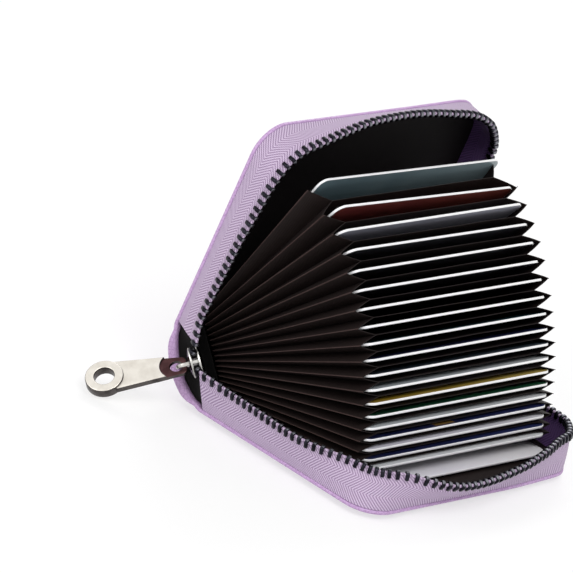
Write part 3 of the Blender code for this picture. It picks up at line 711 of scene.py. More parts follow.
def leatherHalf(side):
    def outside(x, s, d, run):
        return shellPoint(side, x, s, shellHeight(side, x, s, d, run)), (x, s), d

    innerRings = dict(shell["innerRings"])

    def inside(x, s, d, _):
        turnedIn = riseAt(s) * max(1 - d / 0.12, 0.0)
        return shellPoint(side, x, s, innerRings[d] + turnedIn), (x, s), d

    spots, faces, finish = [], [], []
    for rings, faceOf, index in ((shell["rings"], outside, 0), (list(innerRings), inside, 1)):
        for grid in shellSurface(rings, faceOf):
            faces += gridFaces(len(grid), len(grid[0]), len(spots))
            spots += [spot for row in grid for spot in row]
            for row, after in zip(grid, grid[1:]):
                for spot, opposite in zip(row, after[1:]):
                    # Faces by the rim, and the inner face, take the edge leather with its painted shade
                    nearEdge = max(spot[2], opposite[2]) <= shell["smoothEdge"]
                    finish.append(1 if nearEdge else index)
    vertices, uv, _ = zip(*spots)
    piece = makePiece(f"leather_{side}", vertices, faces, [goatLeather, shadedEdgeLeather], finish, uv)
    bm = bmesh.new()
    bm.from_mesh(piece.data)
    bmesh.ops.remove_doubles(bm, verts=bm.verts, dist=0.004 * mm)
    openEdges = [edge for edge in bm.edges if edge.is_boundary]
    capped = bmesh.ops.contextual_create(bm, geom=openEdges)
    for face in capped["faces"]:
        face.smooth = False
        for edge in face.edges:
            edge.smooth = False
    bmesh.ops.triangulate(bm, faces=capped["faces"])
    turnOutwards(bm)
    bm.to_mesh(piece.data)
    bm.free()
    blendLike(piece, side)
    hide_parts(f"{side}_cover_leather", f"{side}_cover_pad")
    if side == "lower":
        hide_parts("spine_leather")


for side in ("lower", "upper"):
    leatherHalf(side)
print("leather shell ready")


# Stitching round the rims and along the spine's ends

stitching = {
    "length": 1.75,
    "width": 0.52,
    "height": 0.42,
    "sink": 0.1,
    "holeSize": 0.62,
    "holeDepth": 0.14,
}


def stitchSpots():
    # (x, s, direction) along one long line: down the near side, round the mouth, up the far side
    inset = shell["stitchInset"]
    half, reach = holder["halfLength"], holder["reach"]
    radius = holder["cornerRadius"]
    path = [(-half + inset, shell["spineHalf"])]
    s = shell["spineHalf"]
    while s > -(reach - radius):
        s -= 0.25
        path.append((-half + inset, s))
    path += arcPoints(-half + radius, -reach + radius, radius - inset, 180, 270, 24)
    x = -half + radius
    while x < half - radius:
        x += 0.25
        path.append((x, -reach + inset))
    path += arcPoints(half - radius, -reach + radius, radius - inset, -90, 0, 24)
    s = -(reach - radius)
    while s < shell["spineHalf"]:
        s += 0.25
        path.append((half - inset, s))
    spots, travelled, due = [], 0.0, shell["stitchPitch"] / 2
    for (x0, s0), (x1, s1) in zip(path, path[1:]):
        step = math.hypot(x1 - x0, s1 - s0)
        if travelled + step >= due:
            spots.append((x0, s0, (x1 - x0) / step, (s1 - s0) / step))
            due += shell["stitchPitch"]
        travelled += step
    return spots


def stitchLine(side):
    spots, holes = [], []
    rimHeight = holder["leather"] + curveThrough(shell["rim"], shell["stitchInset"])
    for x, s, dx, ds in stitchSpots():
        lift = rimHeight + stitching["height"] / 2 - stitching["sink"]
        rise = riseAt(s)
        point = shellPoint(side, x, s, lift + rise)
        ahead = shellPoint(side, x + dx, s + ds, lift + riseAt(s + ds))
        along = (ahead - shellPoint(side, x - dx, s - ds, lift + riseAt(s - ds))).normalized()
        up = (shellPoint(side, x, s, 3.0) - shellPoint(side, x, s, 1.0)).normalized()
        spots.append((point, along, up))
        hop = shell["stitchPitch"] / 2
        holes.append((shellPoint(side, x + dx * hop, s + ds * hop, rimHeight - 0.02 + rise), along, up))
    for name, shape, places, finish in (
        (f"stitches_{side}", stitchShape, spots, stitchThread),
        (f"needle_holes_{side}", holeShape, holes, holeShadeCloth),
    ):
        piece = repeatAlong(name, places, shape, finish, variation=0.04, seed=5)
        blendLike(piece, side)


thread = [stitching[key] for key in ("length", "width", "height")]
stitchShape = ovalShape("stitchShape", *thread, segments=6, rings=7)
hole = stitching["holeSize"]
holeShape = ovalShape("holeShape", hole, hole * 0.8, stitching["holeDepth"], segments=8, rings=4)
for side in ("lower", "upper"):
    stitchLine(side)
for shape in (stitchShape, holeShape):
    bpy.data.objects.remove(shape, do_unlink=True)
print("stitching ready")


# Zip: tape and teeth on each cover

zipper = {
    "inset": 0.6,
    "tapeThick": 0.5,
    "tapeFoot": 0.15,
    "tapeTop": 12.1,
    "tapeBow": 0.35,
    "tapeShort": 1.3,
    "topShort": {"lower": 1.0, "upper": 3.0},
    "cord": 0.5,
    "flapLean": {"lower": 32.0, "upper": 24.0},
    # Lean outwards in degrees at every leanStep mm round the rim, from the spine's near end on
    "leanFrom": 12,
    "leanStep": 6,
    "lean": {
        "lower": [
            15, 16, 17, 18.25, 19.5, 20, 15, 7, -8, -14, -16, -6, 19, 32, 40, 43, 43, 41, 37, 33, 28, 21,
            15, 7, -4, -6, -6, -5, 1, -1, -3,
        ],
        "upper": [
            25, 24, 22.5, 21, 20, 18, 13.5, 10.5, 7.5, -4, -4, 0, 10, 16.5, 23, 28, 30, 31, 32, 31, 29.5,
            26, 22, 20, 11, -3, -10, -10, -8, -6.5, -5,
        ],
    },
    "drawFrom": 11.3,
    "draw": {"lower": (-2.9, 0.3, 2.0), "upper": (-0.9, -2.8, -0.9)},  # towards the slider's mouth
    "pitch": 2.65,
    "toothAt": 11.6,
    "toothWidth": 1.15,
    "farShort": 2.8,
}


def rimRun(distance):
    # Place on the zip's line round a cover: x, y and outward direction
    half, radius, front = edgesWithin(zipper["inset"])
    marks = runMarks()
    for mark, sign, start in ((1, -1, math.pi), (3, 1, -math.pi / 2)):
        if marks[mark] < distance <= marks[mark + 1]:
            a = start + (distance - marks[mark]) / radius
            out = (math.cos(a), math.sin(a))
            return sign * (half - radius) + radius * out[0], front + radius + radius * out[1], out
    if distance <= marks[1]:
        return -half, -distance, (-1.0, 0.0)
    if distance <= marks[3]:
        return -half + radius + distance - marks[2], front, (0.0, -1.0)
    return half, front + radius + distance - marks[4], (1.0, 0.0)


def runMarks():
    # Distances round the rim at which a side, a corner or the mouth ends
    half, radius, front = edgesWithin(zipper["inset"])
    side, bend, mouth = -front - radius, radius * math.pi / 2, 2 * (half - radius)
    marks = [0.0, side]
    for step in (bend, mouth, bend, side):
        marks.append(marks[-1] + step)
    return marks


leanCurves = {
    side: [(zipper["leanFrom"] + zipper["leanStep"] * i, lean) for i, lean in enumerate(leans)]
    for side, leans in zipper["lean"].items()
}


def leanAt(side, distance):
    around = [curveThrough(leanCurves[side], distance + step) for step in (-4, -2, 0, 2, 4)]
    return sum(around) / len(around)


def drawnShare(distance, height):
    along = smooth(zipper["drawFrom"] - distance, 0.0, zipper["drawFrom"])
    return along * min(max(height / zipper["tapeTop"], 0.0), 1.05) ** 1.4


def flapShare(side, distance):
    # How far a point goes with the mouth's wall: all the way where it leans as much as the flap
    marks = runMarks()
    window = smooth(distance, marks[1] - 2, marks[1] + 12) * smooth(marks[4] + 2 - distance, 0.0, 14.0)
    return window * min(max(leanAt(side, distance) / zipper["flapLean"][side], 0.0), 1.0)


def zipPoint(side, distance, height, across=0.0):
    x, y, out = rimRun(distance)
    lean = math.radians(leanAt(side, distance))
    bow = zipper["tapeBow"] * math.sin(math.pi * min(max(height / zipper["tapeTop"], 0), 1))
    reach = height * math.sin(lean) + (across + bow) * math.cos(lean)
    rise = height * math.cos(lean) - (across + bow) * math.sin(lean)
    point = onCover(side, x + out[0] * reach, y + out[1] * reach, rise)
    return point + Vector(zipper["draw"][side]) * drawnShare(distance, height) * mm


def bendWithMouth(piece, side, shares=None):
    # Bakes the piece in place and reads its shares; the corner between the side wall and the mouth's wall is
    # not turned
    _, radius, front = edgesWithin(zipper["inset"])
    onCover(side, 0, front + radius, 0)
    onCover(side, 0, front, 0)
    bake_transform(piece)
    takeShares(piece, shares)


def tapeEnd(side, height):
    short = zipper["tapeShort"]
    return short + (zipper["topShort"][side] - short) * height / zipper["tapeTop"]


def tapeStrip(side, part, first, last):
    # One length of tape with the cord in its edge. The part by the slider is handed to goWithSpine
    foot, top = zipper["tapeFoot"], zipper["tapeTop"]
    drawn = part == "drawn"
    ending = "_end" if drawn else ""
    count = round((last - first) / (0.8 if drawn else 1.6))

    def spotAt(k, i):
        height = foot + (top - foot) * i / 8
        begin = tapeEnd(side, height) if drawn else first
        place = begin + (last - begin) * k / count
        share = drawnShare(place, height) if drawn else flapShare(side, place)
        return zipPoint(side, place, height), (place, height), share

    grid = [[spotAt(k, i) for i in range(9)] for k in range(count + 1)]
    turned = [row[:: -1 if side == "lower" else 1] for row in grid]
    # The back of the tape takes the darker copy as painted shade
    finishes = [lilacTape, shadedTapeInside]
    tape = sheetPiece(f"zip_tape_{side}{ending}", turned, zipper["tapeThick"], finishes, "share")
    vertices, uv, cordShares = [], [], []
    for _, (place, _), share in [row[-1] for row in grid]:
        middle, before, after = (zipPoint(side, place + step, top - 0.2) for step in (0, -0.3, 0.3))
        up = (zipPoint(side, place, top) - zipPoint(side, place, top - 1)).normalized()
        across = (after - before).cross(up).normalized()
        for i, (x, y) in enumerate(arcPoints(0, 0, zipper["cord"], 0, 315, 7)):
            uv.append((place, top + i * 0.4))
            vertices.append(middle + (across * x + up * y) * mm)
            cordShares.append(share)
    faces = ringFaces(len(grid), 8)
    cord = makePiece(f"zip_cord_{side}{ending}", vertices, faces, [lilacTape], uv=uv)
    cleanMesh(cord, 0.0001)
    if drawn:
        goWithSpine(tape, side)
        goWithSpine(cord, side, cordShares)
    else:
        bendWithMouth(tape, side)
        bendWithMouth(cord, side, cordShares)
        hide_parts(f"{side}_zip_tape")


gussets = {"thick": 0.22, "sag": 3.0, "height": 11.4, "width": 8.0, "foot": 0.3, "endsAt": 50.6}


def gusset(side, end):
    # Lining cloth that closes the corner between the tape's end and the spine leather
    sign = -1 if end == "near" else 1
    far = runMarks()[-1] - zipper["tapeShort"] - 0.15

    def spotAt(i, j):
        height = gussets["foot"] + gussets["height"] * i / 12
        share = j / 8
        start = zipPoint(side, tapeEnd(side, height) + 0.3 if sign < 0 else far, height, -0.3)
        stop = shellPoint(side, sign * gussets["endsAt"], 0.4 + height, -0.3)
        rise = (height / zipper["tapeTop"]) ** 2
        sag = (0.3 + gussets["sag"] * rise) * math.sin(math.pi * share)
        point = start.lerp(stop, share) - Vector((sign * sag * mm, 0, 0))
        drawn = drawnShare(tapeEnd(side, height), height) if sign < 0 else 0.0
        return point, (share * gussets["width"] * height / 12, height), share + (1 - share) * drawn

    grid = [[spotAt(i, j) for j in range(9)] for i in range(13)]
    piece = sheetPiece(f"gusset_{side}_{end}", grid, gussets["thick"], [shadedCornerCloth], "share")
    goWithSpine(piece, side)


toothOutline = [
    (-1.12, -1.3), (-1.25, 0.4), (-0.95, 1.05), (-0.4, 1.4), (0.4, 1.4), (0.95, 1.05), (1.25, 0.4),
    (1.12, -1.3), (0.42, -1.3), (0.34, -0.3), (-0.34, -0.3), (-0.42, -1.3),
]


def toothRow(side):
    marks = runMarks()
    height = zipper["toothAt"]
    parts = {"drawn": [], "near": [], "mouth": [], "far": []}
    edges = (zipper["drawFrom"], marks[2], marks[3], marks[-1])
    first, last = 0.4, marks[-1] - zipper["farShort"]
    count = round((last - first) / zipper["pitch"])
    for i in range(count + 1):
        at = first + (last - first) * i / count
        along = (zipPoint(side, at + 0.4, height) - zipPoint(side, at - 0.4, height)).normalized()
        up = (zipPoint(side, at, height + 0.5) - zipPoint(side, at, height - 0.5)).normalized()
        part = next(name for name, edge in zip(parts, edges) if at <= edge)
        share = drawnShare(at, height) if part == "drawn" else flapShare(side, at)
        parts[part].append(((zipPoint(side, at, height), along, up), share))
    for part, found in parts.items():
        piece = repeatAlong(
            f"zip_teeth_{side}_{part}", [spot for spot, _ in found], toothShape, gunmetal,
            variation=0.015, seed=8,
        )
        each = len(piece.data.vertices) // len(found)
        shares = [share for _, share in found for _ in range(each)]
        if part == "drawn":
            goWithSpine(piece, side, shares)
        else:
            bendWithMouth(piece, side, shares)
            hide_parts(f"{side}_teeth_{part}")


toothShape = prismShape("toothShape", toothOutline, zipper["toothWidth"], 0.16)
# The teeth's tops get the painted glint through this attribute
tipGlints = toothShape.data.attributes.new("tip", "FLOAT", "POINT")
tipGlints.data.foreach_set("value", [smooth(vert.co.z / mm, 1.2, 1.4) for vert in toothShape.data.vertices])
for side in ("lower", "upper"):
    tapeStrip(side, "main", zipper["drawFrom"], runMarks()[-1] - zipper["tapeShort"])
    tapeStrip(side, "drawn", zipper["tapeShort"], zipper["drawFrom"])
    gusset(side, "near")
    gusset(side, "far")
    toothRow(side)
bpy.data.objects.remove(toothShape, do_unlink=True)
print("zip ready")


# Linings

linings = {
    "thick": 0.22,
    "lift": 0.22,
    "inset": 1.15,
    "sag": 0.1,
    "back": -0.6,
    "spineFoot": 0.7,
    "spineHeight": 25.0,
}


def coverLining(side):
    half, radius, front = edgesWithin(linings["inset"])
    back = linings["back"]

    def spotAt(i, j):
        y = back + (front - back) * i / 40
        into = max(front + radius - y, 0)
        width = half - radius + math.sqrt(max(radius * radius - into * into, 0))
        x = -width + 2 * width * j / 44
        lift = linings["lift"] + linings["sag"] * (0.5 + 0.5 * noise.noise(Vector((x, y, 4)) * 0.07))
        return onCover(side, x, y, lift), (x, y)

    grid = [[spotAt(i, j) for j in range(45)] for i in range(41)]
    cloth = pleatCloth if side == "lower" else blackLining
    piece = sheetPiece(f"lining_{side}", grid, linings["thick"], [cloth])
    cleanMesh(piece)
    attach(piece, f"{side}_cover")
    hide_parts(f"{side}_cover_lining")


def spineLining():
    # One strip behind the pockets, its ends folded forward to close the corners
    foot, height = linings["spineFoot"], linings["spineHeight"]
    line = [(-49.2, -8.0), (-49.25, -4.0), (-49.2, -0.6), (-48.8, -0.28)]
    line += [(-48 + 4 * i, -0.25) for i in range(25)]
    line += [(48.8, -0.28), (49.2, -0.6), (49.25, -4.0), (49.2, -8.0)]
    grid, travelled, before = [], 0.0, line[0]
    for x, y in line:
        travelled += math.hypot(x - before[0], y - before[1])
        before = (x, y)
        bowed = smooth(y, -1.0, -0.4)
        row = []
        for s in [height * j / 14 for j in range(15)]:
            row.append((onSpine(x, y + bowed * crownAt(foot + s), foot + s), (travelled, s)))
        grid.append(row)
    piece = sheetPiece("lining_spine", grid, linings["thick"], [shadedCornerCloth])
    cleanMesh(piece)
    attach(piece, "spine")
    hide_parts("spine_lining")


coverLining("lower")
coverLining("upper")
spineLining()
print("linings ready")


# Accordion: dividers with pleated ends between the cards, and the cards

fan = {
    "lowestAngle": 3.0,
    "linear": 23.3,
    "square": 36.2,
    "firstLift": 2.5,
    "lastDrop": 2.6,
    "lastOut": 1.5,
    "pitch": 1.26,
    "firstLeaf": 0.6,
    "setback": 0.7,
    "stagger": 0.2,
    "staggerCount": 7,
    "topReach": 66.58,
    "reachStep": 0.37,
    "reachSteps": 16,
    "pleatStart": 5.4,
    "tipInner": 47.6,
    "tipOuter": 45.4,
    "firstFarTip": 41.2,        # the top leaf's far end lies under its card
    "valleyInner": 44.4,
    "valleyOuter": 37.6,
    "dividerStart": 1.0,
    "edgeShort": [(1.0, 3.4), (2.5, 1.8), (4.0, 1.0)],
    "coverLeaf": 61.0,
    "lastLeaf": (19.12, 59.5),  # level and reach of the divider over the lowest card
    "coverTaper": 0.15,
    "coverLift": 1.2,
    "cardLift": 0.6,
    "valleyLift": 0.48,
    "clothMiddle": 0.54,
    "clothThick": 0.16,
    "pleatWidth": 9.0,
}


def fanAngle(level):
    up = (holder["cards"] - level) / (holder["cards"] - 1)
    dropped = fan["lastDrop"] * max(level - holder["cards"] + 1, 0)
    lifted = fan["firstLift"] * max(2 - level, 0)
    return fan["lowestAngle"] + fan["linear"] * up + fan["square"] * up * up + lifted - dropped


def cardReach(level):
    out = fan["lastOut"] * max(level - holder["cards"] + 1, 0)
    return fan["topReach"] - fan["reachStep"] * min(max(level - 1, 0), fan["reachSteps"]) + out


def leafHinge(level):
    # How far in front of the spine and how high on it a leaf turns, and its angle there
    above = holder["cards"] - level
    setback = fan["setback"] + fan["stagger"] * min(above, fan["staggerCount"])
    angle = math.radians(fanAngle(level) - holder["spineLean"])
    return setback, fan["firstLeaf"] + above * fan["pitch"], angle


def levelPoint(level, reach, x, lift):
    # A point of the fan: reach from the hinge at the spine, lift off the leaf's middle
    setback, height, angle = leafHinge(level)
    y = -setback - reach * math.cos(angle) + lift * math.sin(angle)
    z = height + reach * math.sin(angle) + lift * math.cos(angle)
    return onSpine(x, y, z)


def followShare(level):
    return (fanAngle(level) - holder["spineLean"]) / holder["spineLean"]


def pleat(index):
    # The divider under card `index` (0 is above the top card) with a pleat at each end
    valley, taper = index + 0.5, 0.0
    outer = cardReach(valley) - curveThrough(fan["edgeShort"], valley)
    if index == 0:
        valley, outer, taper = 1.0, fan["coverLeaf"], fan["coverTaper"]
    elif index == holder["cards"] - 1:
        valley, outer = fan["lastLeaf"]
    reaches = [fan["dividerStart"], 3.2] + [
        fan["pleatStart"] + (outer - fan["pleatStart"]) * i / 12 for i in range(13)
    ]
    cardLift, valleyLift = fan["cardLift"], fan["valleyLift"] if index else fan["coverLift"]

    def edgeX(reach, inner, out):
        run = (reach - fan["pleatStart"]) / (outer - fan["pleatStart"])
        return inner + (out - inner) * min(max(run, 0), 1)

    def dividerSpot(reach, i):
        x = edgeX(reach, fan["valleyInner"], fan["valleyOuter"]) * (-1 + i / 12)
        dip = 0.12 * noise.noise(Vector((x * 0.06, reach * 0.05, index)))
        return levelPoint(valley, reach, x, valleyLift + dip), (reach, x), 0.0

    def pleatSpot(sign, tip, reach, i):
        # From the valley to the tip, whose fold gets the painted highlight
        t = i / 6
        low = edgeX(reach, fan["valleyInner"], fan["valleyOuter"])
        tipOuter = fan["firstFarTip" if sign > 0 and tip == 1 else "tipOuter"]
        high = edgeX(reach, fan["tipInner"], tipOuter)
        x = low + (high - low) * (t + 0.05 * math.sin(math.pi * t))
        lift = valleyLift + (cardLift - valleyLift) * t
        point = levelPoint(valley + (tip - valley) * t, reach * (1 - taper * t), sign * x, lift)
        return point, (reach, x), float(i == 6)

    grids = [[[dividerSpot(reach, i) for i in range(25)] for reach in reaches]]
    for tip in (index, index + 1):
        if 1 <= tip <= holder["cards"]:
            for sign in (-1, 1):
                rows = [[pleatSpot(sign, tip, reach, i) for i in range(7)] for reach in reaches[2:]]
                grids.append(rows)
    parts = [sheetPiece("panel", grid, fan["clothThick"], [pleatCloth], "creaseHighlight") for grid in grids]
    piece = joinPieces(f"pleat_{index:02d}", parts)
    near, far = max(index, 1), index + 1
    leader = near if abs(followShare(near)) > abs(followShare(far)) else far
    body = f"pocket_{leader:02d}"
    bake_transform(piece)
    takeShares(piece, [leaderShare(vert.co / mm, valley, leader) for vert in piece.data.vertices])
    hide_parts(body)


def leaderShare(point, valley, leader):
    # A point follows the leader's turn in the share that its own level has of it
    y, z = tilted(point.y - holder["foldY"], point.z - holder["foldZ"], -holder["spineLean"])
    level = valley
    for _ in range(3):
        setback, height, angle = leafHinge(level)
        off = (z - height - fan["clothMiddle"]) * math.cos(angle) + (y + setback) * math.sin(angle)
        opening = math.radians(fanAngle(level) - fanAngle(level + 1))
        level -= off / (fan["pitch"] * math.cos(angle) + math.hypot(y + setback, z) * opening)
    level = min(max(level, valley - 0.5), valley + 0.5)
    return min(max(followShare(level) / followShare(leader), 0.0), 1.0)


for index in range(holder["cards"]):
    pleat(index)
for k in range(1, holder["cards"]):
    # A leaf that hardly turns leads no pleat, so the pleat above it stands for it
    if not frame["nodes"][f"pocket_{k:02d}"].hide_render:
        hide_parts(f"pocket_{k:02d}")
print("pleats ready")

cards = {
    "length": 85.6,
    "depth": 53.98,
    "thick": 0.76,
    "corner": 3.18,
    "lift": 0.22,
    "edge": 0.1,
    "faces": [
        ("#5C7077", "#7C8D92"), ("#5A2422", "#7A3A33"), ("#8E8E9C", "#A9A9B6"), ("#26262C", "#3B3B43"),
        ("#1F1F26", "#34343C"), ("#23232B", "#3A3A44"), ("#1C1D24", "#30323A"), ("#22242A", "#3B3F46"),
        ("#1E3A42", "#2F5560"), ("#1B1F42", "#2D3462"), ("#2B333D", "#44505C"), ("#B9C0C6", "#D6DADD"),
        ("#A98A2E", "#C9AF5B"), ("#123826", "#1F5238"), ("#CDD2D6", "#E6E8EB"), ("#1A1F45", "#2A3060"),
        ("#DEDBE8", "#EFEDF4"), ("#1C2148", "#2B3364"), ("#E2E4E8", "#F2F3F5"), ("#F3F0FA", "#FEFCFF"),
    ],
    "askew": {1: -1.6, 2: -2.6, 4: -1.0},  # degrees that a card is turned in its pocket
    "patches": {16: ((-5.7, -22.0), (4.5, 4.0), "#8A6A35")},
}


def cardOutline(shrink):
    radius = cards["corner"]
    right, top = cards["length"] / 2 - radius, cards["depth"] / 2 - radius
    points = []
    for sx, sy, start in ((1, 1, 0), (-1, 1, 90), (-1, -1, 180), (1, -1, 270)):
        points += arcPoints(sx * right, sy * top, radius - shrink, start, start + 90, 6)
    return points


def bankCard(k):
    reach = cardReach(k) - cards["depth"] / 2
    low, edge = cards["lift"], cards["edge"]
    high = low + cards["thick"]
    layers = [
        (low, edge * 2), (low, edge), (low + edge, 0), (high - edge, 0), (high, edge), (high, edge * 2),
    ]
    vertices, uv = [], []
    for lift, shrink in layers:
        outline = cardOutline(shrink)
        for x, y in outline:
            out, along = tilted(-y, x, cards["askew"].get(k, 0.0))
            vertices.append(levelPoint(k, reach + out, along, lift))
        uv += outline
    faces = ringFaces(len(layers), len(outline))
    finish = [1] * (len(faces) - 2) + [0, 0]
    face = cardPrint(f"cardFilm{k:02d}", *cards["faces"][k - 1], cards["patches"].get(k))
    piece = makePiece(f"card_face_{k:02d}", vertices, faces, [face, cardCore], finish, uv)
    for polygon in piece.data.polygons[-2:]:
        polygon.use_smooth = False
    cleanMesh(piece, 0.0005)
    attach(piece, f"card_{k:02d}")
    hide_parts(f"card_{k:02d}")


for k in range(1, holder["cards"] + 1):
    bankCard(k)
for side in ("near_bellows", "far_bellows"):
    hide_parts(side)
print("cards ready")


# Slider and puller

slider = {
    "x": -54.2,
    "out": -5.8,
    "turn": 48.0,
    "length": 9.0,
    "width": 9.6,
    "nose": 3.2,
    "tail": [(0.22, 0.47), (0.36, 0.4), (0.46, 0.31), (0.5, 0.2)],  # shares of length and width
    "plate": 0.55,
    "half": 2.3,
    "dome": 0.85,
    "postRadius": 1.15,
    "postBack": 2.3,
    "bridgeInner": 1.75,
    "bridgeOuter": 2.75,
    "bridgeWidth": 1.2,
    "bridgeLeg": 1.15,
    "pullerTilt": 5.3,
    "pullerTwist": 34.0,
    "eyeHole": 2.0,
    "eyeRim": 0.65,
    "eyeLow": -0.35,
    "eyeThick": 1.35,
    "eyeHalf": 3.2,
    "eyeCorner": 1.8,
    "eyeEnd": 9.0,
    "taper": 0.099,       # half width gained per mm along the bar
    "recess": 5.0,
    "barThick": 2.0,
    "ringRadius": 5.9,
    "ringHole": 3.1,
    "ringThick": 3.2,
    "ringAt": 24.6,
    "shoulderBack": 3.4,
}


def frameAt(origin, along, across):
    up = along.cross(across)
    basis = Matrix((along, across, up)).transposed().to_4x4()
    return Matrix.Translation(origin) @ basis


def spineDirection(x, y, z):
    return (onSpine(x, y, z) - onSpine(0, 0, 0)).normalized()


def flatPlate(name, outlines, thick, soft, place):
    # A flat curve, extruded and bevelled so that its edges are round, made a mesh and put in place
    data = bpy.data.curves.new(name, "CURVE")
    data.dimensions = "2D"
    data.fill_mode = "BOTH"
    data.extrude = (thick / 2 - soft) * mm
    data.bevel_depth = soft * mm
    data.bevel_resolution = 2
    data.offset = -soft * mm
    for points in outlines:
        spline = data.splines.new("POLY")
        spline.points.add(len(points) - 1)
        for point, (x, y) in zip(spline.points, points):
            point.co = (x * mm, y * mm, 0, 1)
        spline.use_cyclic_u = True
    curve = linkedObject(name, data)
    graph = bpy.context.evaluated_depsgraph_get()
    mesh = bpy.data.meshes.new_from_object(curve.evaluated_get(graph))
    bpy.data.objects.remove(curve, do_unlink=True)
    mesh.materials.clear()
    mesh.materials.append(nickel)
    mesh.transform(place)
    return cleanMesh(linkedObject(name, mesh))


def uniteInto(body, others):
    for other in others:
        union = body.modifiers.new("unite", "BOOLEAN")
        union.object = other
        union.operation = "UNION"
        union.solver = "EXACT"
        bpy.context.view_layer.update()
        bakeModifiers(body)
        bpy.data.objects.remove(other, do_unlink=True)


def paintFaces(piece, place, finishes, choose):
    # Each face gets the finish chosen by its middle and by how much it looks up, in the piece's frame
    piece.data.materials.clear()
    for finish in finishes:
        piece.data.materials.append(finish)
    back = place.inverted()
    turned = back.to_3x3()
    for polygon in piece.data.polygons:
        polygon.material_index = choose(back @ polygon.center / mm, (turned @ polygon.normal).z)


def domedPlate(name, outline, side, place):
    # Slider plate with its rim bent in, laid in rings from the middle over the rim and back
    half, thick, dome = slider["half"], slider["plate"], slider["dome"]
    scales = [0.12, 0.3, 0.48, 0.66, 0.82, 0.93, 0.975]
    rings = [(scale, half - dome * scale**2.4) for scale in scales]
    rings.append((1.0, half - dome - thick / 2))
    rings += [(scale, half - dome * scale**2.4 - thick) for scale in reversed(scales)]
    vertices = [
        place @ (Vector((x * scale, y * scale, side * level)) * mm)
        for scale, level in rings
        for x, y in outline
    ]
    plate = makePiece(name, vertices, ringFaces(len(rings), len(outline)), [sliderMetal])
    return cleanMesh(plate, 0.0005)


